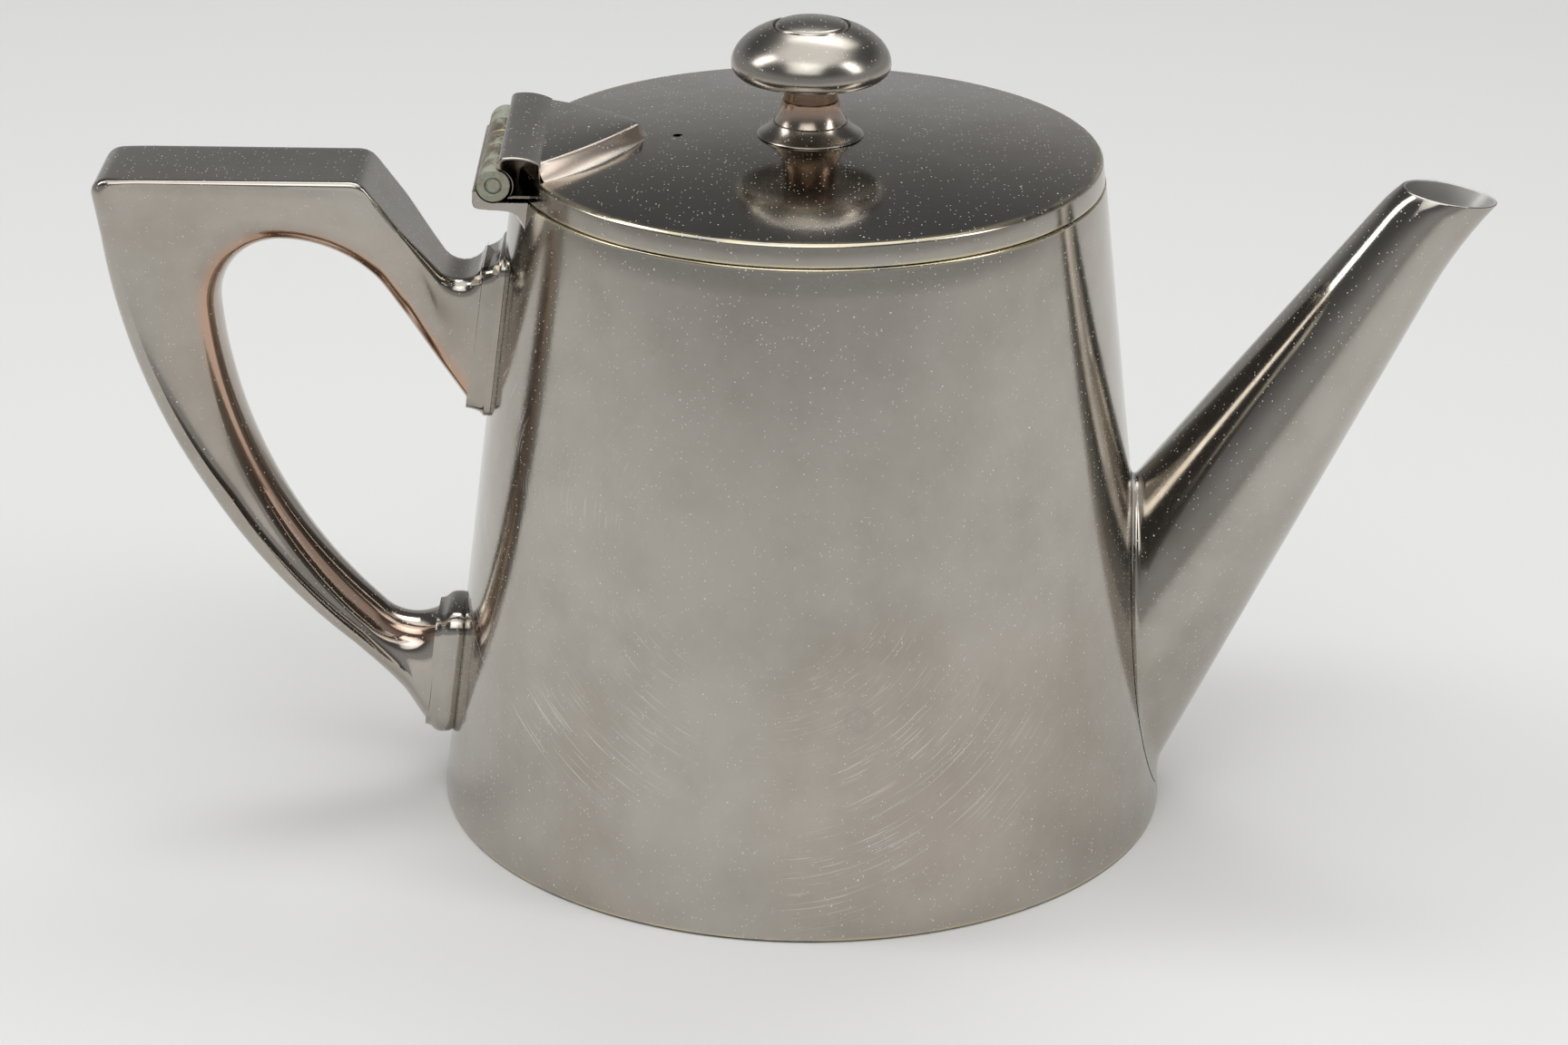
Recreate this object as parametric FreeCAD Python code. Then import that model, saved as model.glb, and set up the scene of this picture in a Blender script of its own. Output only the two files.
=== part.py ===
"""Plated teapot with a straight tapered body, hinged lid, straight spout and hollow handle.

Millimetres. The origin is the centre of the flat base, +Z is up, the spout points to +X,
the handle to -X, and the lid turns about a pin along Y above the handle.
"""
import math
import os

import FreeCAD
import Part
from FreeCAD import Vector

# Body
base_diameter = 100.0
mouth_diameter = 78.8
body_height = 89.0
body_wall = 1.0
base_thickness = 1.2
mouth_ring_height = 4.0
mouth_ring_wall = 0.8

# Fits
solder_gap = 0.05
seam_gap = 0.1
swing_gap = 0.3
lid_fit_gap = 0.5
thread_gap = 0.05
pin_running_gap = 0.05

# Lid
lid_rim_height = 3.1
lid_rim_setback = 0.35
lid_edge_round = 0.8
lid_dome_rise = 2.2
lid_wall = 1.0
lid_bezel_drop = 3.0
lid_bezel_wall = 0.8
vent_diameter = 1.3
vent_offset = 17.6

# Knob
knob_diameter = 21.2
knob_rim_height = 9.7
knob_dome_rise = 4.8
knob_underside_drop = 1.5
knob_cap_diameter = 10.6
knob_cap_edge = 0.7
knob_cap_rise = 1.1
knob_cap_groove = 0.25
knob_bulge_angle = 35.0
neck_diameter = 7.5
neck_start_height = 4.8
foot_diameter = 14.0
foot_step_diameter = 10.6
foot_step_height = 2.0
foot_ledge = 0.5
foot_swell = 0.6
neck_flare_sag = 0.6
stud_diameter = 3.0
stud_grip = 4.0
nut_across_flats = 5.5
nut_thickness = 2.0
washer_diameter = 9.0
washer_thickness = 0.6

# Spout
spout_angle = 58.0
spout_root_height = 27.0
spout_root_radius = 12.8
spout_taper = 0.112
spout_length = 74.0
spout_wall = 0.8
lip_length = 9.0
lip_throw = 2.4
mouth_slope = 11.0
spout_mouth_height = 86.6
strainer_hole_diameter = 3.0
strainer_pitch = 5.0
strainer_half_height = 15.0
strainer_half_width = 8.5

# Hinge
barrel_radius = 2.2
hinge_length = 29.0
hinge_standoff = 1.8
pin_radius = 1.05
knuckle_count = 5
knuckle_end_gap = 0.2
bearer_lip_rise = 1.4
bearer_lip_overhang = 0.4
bearer_edge_depth = 0.9
bearer_root_depth = 3.0
cover_rear_setback = 1.0
cover_rise = 3.5
cover_hump = 0.7
cover_shoulder_length = 5.4
cover_length = 18.0
cover_waist_width = 14.0
cover_tip_width = 2.4
cover_foot_spread = 3.0
cover_tip_rise = 0.35

# Handle
handle_length = 52.1
handle_width = 16.0
handle_foot_width = 11.0
handle_top_rise = 0.3
handle_wall = 2.0
handle_corner_round = 2.4
handle_edge_round = 2.4
top_bar_depth = 9.6
knee_reach = 15.9
left_arm_depth = 15.8
outer_top_drop = 8.0
outer_top_inset = 0.9
outer_arm_sag = 6.7
inner_arm_sag = 4.6
arch_run = 9.0
arch_height = 9.6
arch_left_sag = 2.7
arch_right_sag = 1.95
gap_edge_run = 10.6
gap_edge_rise = 15.7
knee_run = 10.1
knee_drop = 13.4
knee_cove_sag = 1.8
heel_run = 7.8
heel_rise = 1.3
heel_cove_sag = 1.5
foot_run = 9.7
foot_rise = 12.8

# Handle sockets
socket_step = 1.0
upper_socket_drop = 10.6
upper_socket_height = 22.6
upper_socket_depth = 2.4
upper_socket_width = 15.0
lower_socket_base = 8.0
lower_socket_height = 18.0
lower_socket_depth = 3.3
lower_socket_width = 13.0
flange_thickness = 1.2

base_radius = base_diameter / 2
mouth_radius = mouth_diameter / 2
reach_beyond = base_diameter
top_face_length = handle_length - knee_reach

lid_seat = body_height + seam_gap
lid_edge_height = lid_seat + lid_rim_height
lid_rim_radius = mouth_radius - seam_gap
lid_edge_radius = lid_rim_radius - lid_rim_setback
lid_top = lid_edge_height + lid_dome_rise

hinge_x = -(mouth_radius + hinge_standoff)
hinge_z = body_height + barrel_radius + seam_gap
half_hinge = hinge_length / 2


def wall_radius(height):
    """Outside radius of the tapered body at a height."""
    return base_radius + (mouth_radius - base_radius) * height / body_height


def turned(points):
    """Solid of revolution about Z from (radius, height) points."""
    corners = [Vector(r, 0, z) for r, z in points]
    face = Part.Face(Part.makePolygon(corners + corners[:1]))
    return face.revolve(Vector(0, 0, 0), Vector(0, 0, 1), 360)


def turned_edges(edges):
    """Solid of revolution about Z from a closed loop of edges in the XZ plane."""
    face = Part.Face(Part.Wire(Part.__sortEdges__(edges)))
    return face.revolve(Vector(0, 0, 0), Vector(0, 0, 1), 360)


def flat(x, z):
    """Point of a side outline, in the XZ plane."""
    return Vector(x, 0, z)


def line(start, end):
    return Part.LineSegment(start, end).toShape()


def arc(start, middle, end):
    return Part.Arc(start, middle, end).toShape()


def sagged_arc(start, end, sag):
    """Arc whose middle stands off its chord by sag, to the right of the way from start to end."""
    chord = end - start
    aside = Vector(chord.z, 0, -chord.x).normalize()
    return arc(start, (start + end) / 2 + aside * sag, end)


def thickened(edges, half_width):
    """Side outline in the XZ plane, extruded to both sides."""
    face = Part.Face(Part.Wire(edges))
    face.translate(Vector(0, -half_width, 0))
    return face.extrude(Vector(0, 2 * half_width, 0))


def side_polygon(points, half_width):
    corners = [flat(x, z) for x, z in points]
    edges = [line(a, b) for a, b in zip(corners, corners[1:] + corners[:1])]
    return thickened(edges, half_width)


def plan_wire(points, height):
    corners = [Vector(x, y, height) for x, y in points]
    return Part.makePolygon(corners + corners[:1])


def rod(radius, start_y, end_y):
    """Cylinder along Y on the hinge axis."""
    return Part.makeCylinder(radius, end_y - start_y, Vector(hinge_x, start_y, hinge_z), Vector(0, 1, 0))


def half_space(from_y, to_y):
    size = 4 * reach_beyond
    return Part.makeBox(size, to_y - from_y, size, Vector(-size / 2, from_y, -size / 2))


def body_core(grow):
    """Everything inside the body's outer surface, grown by a gap."""
    top = 2 * body_height
    return turned([(0, -top), (wall_radius(-top) + grow, -top), (wall_radius(top) + grow, top), (0, top)])


def lid_dome_height(radius):
    """Height of the lid's domed top, an arc from the edge to the centre."""
    chord = lid_edge_radius - lid_edge_round
    ball = (chord ** 2 + lid_dome_rise ** 2) / (2 * lid_dome_rise)
    return lid_top - ball + math.sqrt(ball ** 2 - radius ** 2)


def lid_outline(grow, sink):
    """Filled lid: outer surface grown by grow, or sunk inwards by sink for the inside."""
    rim = lid_rim_radius + grow - sink
    edge = lid_edge_radius + grow - sink
    shoulder = lid_edge_radius - lid_edge_round
    lift = grow - sink
    start = flat(shoulder, lid_dome_height(shoulder) + lift)
    middle = flat(shoulder / 2, lid_dome_height(shoulder / 2) + lift)
    crown = flat(0, lid_top + lift)
    bottom = lid_seat - (lid_rim_height if grow or sink else 0)
    drop = lid_edge_height - lid_edge_round + lift
    side = [crown, flat(0, bottom), flat(rim, bottom), flat(rim, lid_seat), flat(edge, drop), start]
    sides = [line(a, b) for a, b in zip(side, side[1:]) if a != b]
    return turned_edges(sides + [arc(start, middle, crown)])


# Body pieces

def make_body_shell():
    shell = turned([
        (base_radius, 0), (mouth_radius, body_height),
        (mouth_radius - body_wall, body_height), (base_radius - body_wall, 0)])
    return shell.cut(Part.makeCompound(strainer_drills()))


def strainer_drills():
    """Straining holes through the wall behind the spout, in staggered rows."""
    row_step = strainer_pitch * math.sqrt(3) / 2
    rows = int(strainer_half_height / row_step)
    columns = int(strainer_half_width / strainer_pitch) + 1
    drills = []
    for row in range(-rows, rows + 1):
        z = row * row_step
        shift = strainer_pitch / 2 if row % 2 else 0.0
        for column in range(-columns, columns + 1):
            y = column * strainer_pitch + shift
            if math.hypot(y / strainer_half_width, z / strainer_half_height) > 1:
                continue
            drills.append(Part.makeCylinder(
                strainer_hole_diameter / 2, base_diameter, Vector(0, y, spout_root_height + z), Vector(1, 0, 0)))
    return drills


def make_base_disc():
    inner = base_radius - body_wall - solder_gap
    top = wall_radius(base_thickness) - body_wall - solder_gap
    return turned([(0, 0), (inner, 0), (top, base_thickness), (0, base_thickness)])


def mouth_ring_inner_radius():
    return mouth_radius - body_wall - solder_gap - mouth_ring_wall


def make_mouth_ring():
    low = body_height - mouth_ring_height
    outer_low = wall_radius(low) - body_wall - solder_gap
    outer_top = mouth_radius - body_wall - solder_gap
    inner = mouth_ring_inner_radius()
    return turned([(inner, low), (outer_low, low), (outer_top, body_height), (inner, body_height)])


# Spout

def spout_direction():
    turn = math.radians(spout_angle)
    return Vector(math.cos(turn), 0, math.sin(turn))


def spout_root():
    return Vector(wall_radius(spout_root_height), 0, spout_root_height)


def spout_bore(inset):
    """Tapered tube from inside the body to past the mouth, leaning forward at the lip."""
    along = spout_direction()
    ahead = Vector(along.z, 0, -along.x)
    stations = [(-spout_root_radius * 2, 0.0), (spout_length - lip_length, 0.0),
                (spout_length, lip_throw)]
    rings = []
    for distance, throw in stations:
        centre = spout_root() + along * distance + ahead * throw
        radius = spout_root_radius - spout_taper * distance - inset
        rings.append(Part.Wire(Part.makeCircle(radius, centre, along)))
    return Part.makeLoft(rings, True, True)


def make_spout_shell():
    tube = spout_bore(0).cut(spout_bore(spout_wall))
    tube = tube.cut(body_core(solder_gap))
    middle_x = spout_root().x + (spout_mouth_height - spout_root_height) / math.tan(math.radians(spout_angle))
    size = spout_length
    above = Part.makeBox(2 * size, 2 * size, size, Vector(-size, -size, 0))
    above.rotate(Vector(0, 0, 0), Vector(0, 1, 0), mouth_slope)
    above.translate(Vector(middle_x, 0, spout_mouth_height))
    solids = tube.cut(above).Solids
    return max(solids, key=lambda solid: solid.Volume)


# Handle

def upper_face(height):
    return -(wall_radius(height) + upper_socket_depth + solder_gap)


def lower_face(height):
    return -(wall_radius(height) + lower_socket_depth + solder_gap)


def upper_socket_span():
    top = body_height - upper_socket_drop
    return top - upper_socket_height, top


def handle_outline():
    """Side outline of the handle between the two sockets, in order round the loop."""
    low, high = upper_socket_span()
    top = body_height + handle_top_rise
    cove_end = flat(upper_face(high - socket_step), high - socket_step)
    left = cove_end.x - handle_length
    slope = handle_corner_round * (1 - math.sqrt(0.5))

    corner_start = flat(left, top - handle_corner_round)
    corner_middle = flat(left + slope, top - slope)
    corner_end = flat(left + handle_corner_round, top)
    knee = flat(left + top_face_length, top)
    cove_start = knee + flat(knee_run, -knee_drop)
    gap_corner = flat(upper_face(low + socket_step), low + socket_step)
    arch_right = gap_corner + flat(-gap_edge_run, gap_edge_rise)
    arch_top = flat(left + left_arm_depth + arch_run, top - top_bar_depth)
    arch_left = flat(left + left_arm_depth, arch_top.z - arch_height)
    heel = lower_socket_base + lower_socket_height - socket_step
    heel_end = flat(lower_face(heel), heel)
    heel_start = heel_end + flat(-heel_run, heel_rise)
    foot = lower_socket_base + socket_step
    foot_end = flat(lower_face(foot), foot)
    foot_start = foot_end + flat(-foot_run, foot_rise)
    outer_start = flat(left + outer_top_inset, top - outer_top_drop)
    return [
        arc(corner_start, corner_middle, corner_end),
        line(corner_end, knee),
        line(knee, cove_start),
        sagged_arc(cove_start, cove_end, knee_cove_sag),
        line(cove_end, gap_corner),
        line(gap_corner, arch_right),
        sagged_arc(arch_right, arch_top, arch_right_sag),
        sagged_arc(arch_top, arch_left, arch_left_sag),
        sagged_arc(arch_left, heel_start, inner_arm_sag),
        sagged_arc(heel_start, heel_end, heel_cove_sag),
        line(heel_end, foot_end),
        line(foot_end, foot_start),
        sagged_arc(foot_start, outer_start, -outer_arm_sag),
        line(outer_start, corner_start),
    ]


def handle_taper(inset):
    """Front shape of the handle: full width at the top, narrowing to the foot."""
    top = body_height + handle_top_rise
    wide = handle_width / 2 - inset
    narrow = handle_foot_width / 2 - inset
    corners = [Vector(0, wide, top), Vector(0, narrow, 0), Vector(0, -narrow, 0), Vector(0, -wide, top)]
    face = Part.Face(Part.makePolygon(corners + corners[:1]))
    return face.extrude(Vector(-2 * reach_beyond, 0, 0))


def soft_edges(block, stretches):
    """Long edges of the handle block that run along the given stretches of its side outline."""
    chosen = []
    for edge in block.Edges:
        middle = edge.valueAt((edge.FirstParameter + edge.LastParameter) / 2)
        spot = Part.Vertex(flat(middle.x, middle.z))
        across = abs(middle.y) < handle_wall
        if not across and min(spot.distToShape(stretch)[0] for stretch in stretches) < solder_gap:
            chosen.append(edge)
    return chosen


def make_handle_halves():
    """Hollow handle in two halves that meet in the middle plane."""
    outline = handle_outline()
    gap_side = outline[5:10]
    arm_back = outline[11:14]
    block = thickened(outline, handle_width).common(handle_taper(0))
    block = block.makeFillet(handle_edge_round, soft_edges(block, gap_side + arm_back))
    inside = Part.Wire(outline).makeOffset2D(-handle_wall).Edges
    hollow = thickened(Part.__sortEdges__(inside), handle_width).common(handle_taper(handle_wall))
    shell = block.cut(hollow)
    return shell.common(half_space(-handle_width, 0)), shell.common(half_space(0, handle_width))


def make_socket(low, high, depth, width):
    """Stepped flange between the body and one end of the handle, following the taper."""
    def plate(bottom, top, thickness, half_width):
        inside = base_radius / 2
        return side_polygon([
            (-(wall_radius(bottom) + thickness), bottom), (-(wall_radius(top) + thickness), top),
            (-(wall_radius(top) - inside), top), (-(wall_radius(bottom) - inside), bottom)], half_width)
    flange = plate(low, high, flange_thickness, width / 2)
    pad = plate(low + socket_step, high - socket_step, depth, width / 2 - socket_step)
    return flange.fuse(pad).cut(body_core(solder_gap)).removeSplitter()


# Hinge

def knuckle_spans():
    """Start and end along Y of each knuckle, from the near end."""
    length = (hinge_length - (knuckle_count - 1) * knuckle_end_gap) / knuckle_count
    step = length + knuckle_end_gap
    return [(-half_hinge + i * step, -half_hinge + i * step + length) for i in range(knuckle_count)]


def make_knuckle(index):
    start, end = knuckle_spans()[index]
    gap = pin_running_gap if index % 2 else solder_gap
    return rod(barrel_radius, start, end).cut(rod(pin_radius + gap, start, end))


def barrel_groove(snug_parity):
    """Space for the barrel: snug round the knuckles soldered here, clear of the others."""
    spans = knuckle_spans()
    groove = []
    for index, (start, end) in enumerate(spans):
        snug = index % 2 == snug_parity
        radius = barrel_radius + (solder_gap if snug else swing_gap)
        overrun = 0 if snug else knuckle_end_gap
        first = start - overrun if index else start - hinge_length
        last = end + overrun if index < knuckle_count - 1 else end + hinge_length
        groove.append(rod(radius, first, last))
    return groove


def make_hinge_bearer():
    outer = hinge_x - barrel_radius - bearer_lip_overhang
    root = -(wall_radius(body_height - bearer_root_depth) + solder_gap)
    inside = -base_radius / 2
    block = side_polygon([
        (outer, body_height - bearer_edge_depth), (outer, body_height + bearer_lip_rise),
        (hinge_x, body_height + bearer_lip_rise), (hinge_x, body_height),
        (inside, body_height), (inside, body_height - bearer_root_depth),
        (root, body_height - bearer_root_depth), (hinge_x, body_height - bearer_edge_depth)], half_hinge)
    block = block.cut(body_core(solder_gap))
    for groove in barrel_groove(0):
        block = block.cut(groove)
    return max(block.Solids, key=lambda solid: solid.Volume)


def make_hinge_cover():
    rear = hinge_x + cover_rear_setback
    shoulder = rear + cover_shoulder_length
    tip = rear + cover_length
    bottom = body_height + swing_gap + seam_gap
    top = hinge_z + cover_rise
    tip_z = lid_dome_height(tip) + cover_tip_rise
    hump = flat((rear + shoulder) / 2, top + cover_hump)
    profile = thickened([
        line(flat(rear, bottom), flat(rear, top)),
        arc(flat(rear, top), hump, flat(shoulder, top)),
        line(flat(shoulder, top), flat(tip, tip_z)),
        line(flat(tip, tip_z), flat(tip, bottom)),
        line(flat(tip, bottom), flat(rear, bottom)),
    ], half_hinge)

    def plan(spread, height):
        half = [(rear, half_hinge), (shoulder, half_hinge),
                ((shoulder + tip) / 2, cover_waist_width / 2 + spread), (tip, cover_tip_width / 2 + spread / 2)]
        return plan_wire(half + [(x, -y) for x, y in reversed(half)], height)

    wedge = Part.makeLoft([plan(cover_foot_spread, bottom), plan(0, top + cover_hump)], True, True)
    cover = profile.common(wedge).cut(lid_outline(solder_gap, 0))
    for groove in barrel_groove(1):
        cover = cover.cut(groove)
    return max(cover.Solids, key=lambda solid: solid.Volume)


# Lid pieces

def make_lid_shell():
    shell = lid_outline(0, 0).cut(lid_outline(0, lid_wall))
    stud_hole = Part.makeCylinder(stud_diameter / 2 + thread_gap, lid_top, Vector(0, 0, lid_seat))
    vent = Part.makeCylinder(vent_diameter / 2, lid_top, Vector(-vent_offset, 0, lid_seat))
    shell = shell.cut(stud_hole).cut(vent)
    for groove in barrel_groove(1):
        shell = shell.cut(groove)
    return shell


def make_lid_bezel():
    outer = mouth_ring_inner_radius() - lid_fit_gap
    low = body_height - lid_bezel_drop
    ring = turned([(outer - lid_bezel_wall, low), (outer, low),
                   (outer, lid_top), (outer - lid_bezel_wall, lid_top)])
    return ring.common(lid_outline(0, lid_wall + solder_gap).fuse(
        Part.makeCylinder(mouth_radius, body_height - low, Vector(0, 0, low))))


# Knob pieces

def knob_rim():
    return lid_top + knob_rim_height


def bored(solid, top):
    """Solid with the stud's hole up to a height."""
    low = lid_seat
    return solid.cut(Part.makeCylinder(stud_diameter / 2 + thread_gap, top - low, Vector(0, 0, low)))


def stud_top():
    return knob_underside() + stud_grip


def knob_underside():
    return knob_rim() - knob_underside_drop


def make_knob_pillar():
    seat = lid_dome_height(foot_diameter / 2) + solder_gap
    step = seat + foot_step_height
    neck = seat + neck_start_height
    top = knob_underside() - solder_gap
    foot = flat(foot_diameter / 2, seat)
    foot_top = flat(foot_step_diameter / 2, step)
    ledge = flat(foot_step_diameter / 2 - foot_ledge, step)
    neck_low = flat(neck_diameter / 2, neck)
    neck_top = flat(neck_diameter / 2, top)
    solid = turned_edges([
        line(flat(0, lid_seat), flat(foot.x, lid_seat)), line(flat(foot.x, lid_seat), foot),
        sagged_arc(foot, foot_top, foot_swell), line(foot_top, ledge),
        sagged_arc(ledge, neck_low, -neck_flare_sag),
        line(neck_low, neck_top), line(neck_top, flat(0, top)), line(flat(0, top), flat(0, lid_seat))])
    return bored(solid.cut(lid_outline(solder_gap, 0)), knob_rim())


def dome_height(radius):
    return knob_rim() + knob_dome_rise * math.sqrt(1 - (2 * radius / knob_diameter) ** 2)


def make_knob_head():
    half = knob_diameter / 2
    cap = knob_cap_diameter / 2
    under = knob_underside()
    under_edge = half - knob_underside_drop
    rim = flat(half, knob_rim())
    shoulder = flat(cap, dome_height(cap))
    bulge_radius = half * math.cos(math.radians(knob_bulge_angle))
    slope = math.sqrt(0.5)
    turn = flat(under_edge + knob_underside_drop * slope, knob_rim() - knob_underside_drop * slope)
    solid = turned_edges([
        line(flat(0, under), flat(under_edge, under)),
        arc(flat(under_edge, under), turn, rim),
        arc(rim, flat(bulge_radius, dome_height(bulge_radius)), shoulder),
        line(shoulder, flat(0, shoulder.z)),
        line(flat(0, shoulder.z), flat(0, under)),
    ])
    return bored(solid, stud_top() + thread_gap)


def make_knob_cap():
    radius = knob_cap_diameter / 2 - knob_cap_groove
    low = dome_height(knob_cap_diameter / 2) + solder_gap
    edge = flat(radius, low + knob_cap_edge)
    crown = flat(0, low + knob_cap_edge + knob_cap_rise)
    ball = (radius ** 2 + knob_cap_rise ** 2) / (2 * knob_cap_rise)
    middle = flat(radius / 2, crown.z - ball + math.sqrt(ball ** 2 - (radius / 2) ** 2))
    return turned_edges([
        line(flat(0, low), flat(radius, low)), line(flat(radius, low), edge),
        arc(edge, middle, crown), line(crown, flat(0, low))])


def washer_top():
    return lid_top - lid_wall - solder_gap - (
        lid_dome_height(0) - lid_dome_height(washer_diameter / 2))


def washer_low():
    return washer_top() - washer_thickness


def nut_low():
    return washer_low() - nut_thickness


def make_knob_stud():
    low = nut_low() - thread_gap
    return Part.makeCylinder(stud_diameter / 2, stud_top() - low, Vector(0, 0, low))


def make_knob_washer():
    disc = Part.makeCylinder(washer_diameter / 2, washer_thickness, Vector(0, 0, washer_low()))
    return disc.cut(Part.makeCylinder(stud_diameter / 2 + thread_gap, lid_top, Vector(0, 0, 0)))


def make_knob_nut():
    radius = nut_across_flats / math.sqrt(3)
    corners = [Vector(radius * math.cos(i * math.pi / 3), radius * math.sin(i * math.pi / 3), nut_low())
               for i in range(6)]
    body = Part.Face(Part.makePolygon(corners + corners[:1])).extrude(Vector(0, 0, nut_thickness))
    return body.cut(Part.makeCylinder(stud_diameter / 2 + thread_gap, lid_top, Vector(0, 0, 0)))


def make_pieces():
    near_half, far_half = make_handle_halves()
    low, high = upper_socket_span()
    return {
        "body_shell": make_body_shell(),
        "base_disc": make_base_disc(),
        "mouth_ring": make_mouth_ring(),
        "spout_shell": make_spout_shell(),
        "handle_near_half": near_half,
        "handle_far_half": far_half,
        "upper_handle_socket": make_socket(low, high, upper_socket_depth, upper_socket_width),
        "lower_handle_socket": make_socket(
            lower_socket_base, lower_socket_base + lower_socket_height, lower_socket_depth, lower_socket_width),
        "hinge_bearer": make_hinge_bearer(),
        "body_knuckle_near": make_knuckle(0),
        "body_knuckle_middle": make_knuckle(2),
        "body_knuckle_far": make_knuckle(4),
        "hinge_pin": rod(pin_radius, -half_hinge, half_hinge),
        "lid_knuckle_near": make_knuckle(1),
        "lid_knuckle_far": make_knuckle(3),
        "hinge_cover": make_hinge_cover(),
        "lid_shell": make_lid_shell(),
        "lid_bezel": make_lid_bezel(),
        "knob_pillar": make_knob_pillar(),
        "knob_head": make_knob_head(),
        "knob_cap": make_knob_cap(),
        "knob_stud": make_knob_stud(),
        "knob_washer": make_knob_washer(),
        "knob_nut": make_knob_nut(),
    }


def main():
    os.makedirs("parts", exist_ok=True)
    for name, shape in make_pieces().items():
        solid = shape.Solids[0] if len(shape.Solids) == 1 else shape
        solid.exportStep(f"parts/{name}.step")
        box = solid.BoundBox
        print(f"{name}: {len(shape.Solids)} solid, valid {solid.isValid()}, volume {solid.Volume:.1f}, "
              f"x {box.XMin:.1f} {box.XMax:.1f}, y {box.YMin:.1f} {box.YMax:.1f}, z {box.ZMin:.1f} {box.ZMax:.1f}")


main()
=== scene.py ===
"""Looks of the plated teapot: turned body, lid and knob, spout, handle, hinge and worn plate."""
import math

import bmesh
import bpy
from mathutils import Matrix, Vector


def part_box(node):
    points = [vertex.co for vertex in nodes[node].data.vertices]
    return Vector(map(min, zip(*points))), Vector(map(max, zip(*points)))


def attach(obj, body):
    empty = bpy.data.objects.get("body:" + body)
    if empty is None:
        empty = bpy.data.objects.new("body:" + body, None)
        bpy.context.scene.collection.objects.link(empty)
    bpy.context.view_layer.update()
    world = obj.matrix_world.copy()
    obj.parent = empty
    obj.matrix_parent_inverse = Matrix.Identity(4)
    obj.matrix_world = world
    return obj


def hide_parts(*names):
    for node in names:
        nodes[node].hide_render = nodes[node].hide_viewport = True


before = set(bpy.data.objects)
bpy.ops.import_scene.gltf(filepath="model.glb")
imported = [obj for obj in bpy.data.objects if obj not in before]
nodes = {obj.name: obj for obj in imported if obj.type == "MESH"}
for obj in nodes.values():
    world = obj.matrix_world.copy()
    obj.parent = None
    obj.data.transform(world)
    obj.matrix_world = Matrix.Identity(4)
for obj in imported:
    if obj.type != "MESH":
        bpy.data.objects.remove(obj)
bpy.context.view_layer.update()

# Sizes are in millimetres, and MM turns them into the scene's metres
MM = 0.001

# Camera of the photograph
LENS_MM = 98.875
SENSOR_MM = 36.0
CAMERA_PITCH = math.radians(22.653)
CAMERA_ROLL = math.radians(0.640)
CAMERA_PLACE = Vector((-2.912, -547.09, 266.74)) * MM

# Spout
SPOUT_ANGLE = math.radians(58.0)
SPOUT_ROOT_HEIGHT = 27.0
SPOUT_ROOT_RADIUS = 12.8
SPOUT_TAPER = 0.106
SPOUT_LENGTH = 74.0
SPOUT_WALL = 0.8
MOUTH_WALL = 0.4
LIP_LENGTH = 15.0
LIP_THROW = 2.0
BACK_ROLL_START = 64.8
BACK_ROLL_LENGTH = 3.4
BACK_ROLL = 0.35
MOUTH_SLOPE = math.radians(9.0)
MOUTH_HEIGHT = 87.0
SOLDER_FILLET = 1.6

# Body
FOOT_ROUND = 0.35
LIP_ROUND = 0.3
BASE_DRAFT = 0.15
BAND_WALL = 0.8
BAND_ROUND = 0.25

# Straining holes
HOLE_RADIUS = 1.5
HOLE_PITCH = 5.0
DRILL_LENGTH = 20.0
STRAINER_HALF_HEIGHT = 15.0
STRAINER_HALF_WIDTH = 8.5

# Lid
LID_RISE = 2.2
LID_DOME_INSET = 1.15
LID_WALL = 1.0
RIM_LEAN = 0.35
RIM_STEP = 0.7
RIM_DROP = 0.3
RIM_HEIGHT = 3.1
VENT_RADIUS = 0.65
VENT_OFFSET = 17.6

# Hinge
HINGE_GAP = 0.2
KNUCKLE_ROUND = 0.25
PIN_CLEARANCE = 0.05
PIN_CHAMFER = 0.3
CHANNEL_GAP = 0.2
TROUGH_GAP = 0.12
TROUGH_LIP = 0.55
TROUGH_FLOOR = 0.95
TROUGH_END = 0.2
SEAM = 0.03

# Handle
HANDLE_FOOT_WIDTH = 11.0
HANDLE_TOP_WIDTH = 16.0
CREASE_INSET = 3.0
CREASE_DEPTH = 2.3
SIDE_DISH = 0.9
RIDGE_ROUND = 0.7
CORNER_ROUND = 2.4
ARM_ROUND = 3.6
NECK_ROUND = 1.9
NECK_WAIST = 1.9
KNEE_ROUND = 1.4
CORNER_CUT = 2.4
DISH_SCALE = 27 / 4
PAD_MARGIN = 0.9

# Knob
STEM_FOOT = 7.0
STEM_HEIGHT = 4.85
NECK_RADIUS = 3.55
KNOB_RIM = 1.5
KNOB_BUTTON_RADIUS = 5.0
BUTTON_RISE = 0.06
BUTTON_SEAT = 0.55
FIXING_ROUND = 0.12

# Hinge hood
HOOD_SHOULDER = -35.0
HOOD_TIP = -22.6
HOOD_NOSE_RADIUS = 1.7
HOOD_SHOULDER_HEIGHT = 94.4
HOOD_TIP_HEIGHT = 95.7
HOOD_REAR_HEIGHT = 95.0
HOOD_BOW = 0.7
HOOD_SHOULDER_COVE = 1.6
HOOD_MIDDLE_COVE = 3.4
HOOD_TIP_COVE = 1.1
HOOD_CROWN = 0.5
HOOD_REAR_ROUND = 1.0
HOOD_RECESS = 6.0
HOOD_GROOVE_GAP = 0.3

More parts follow.
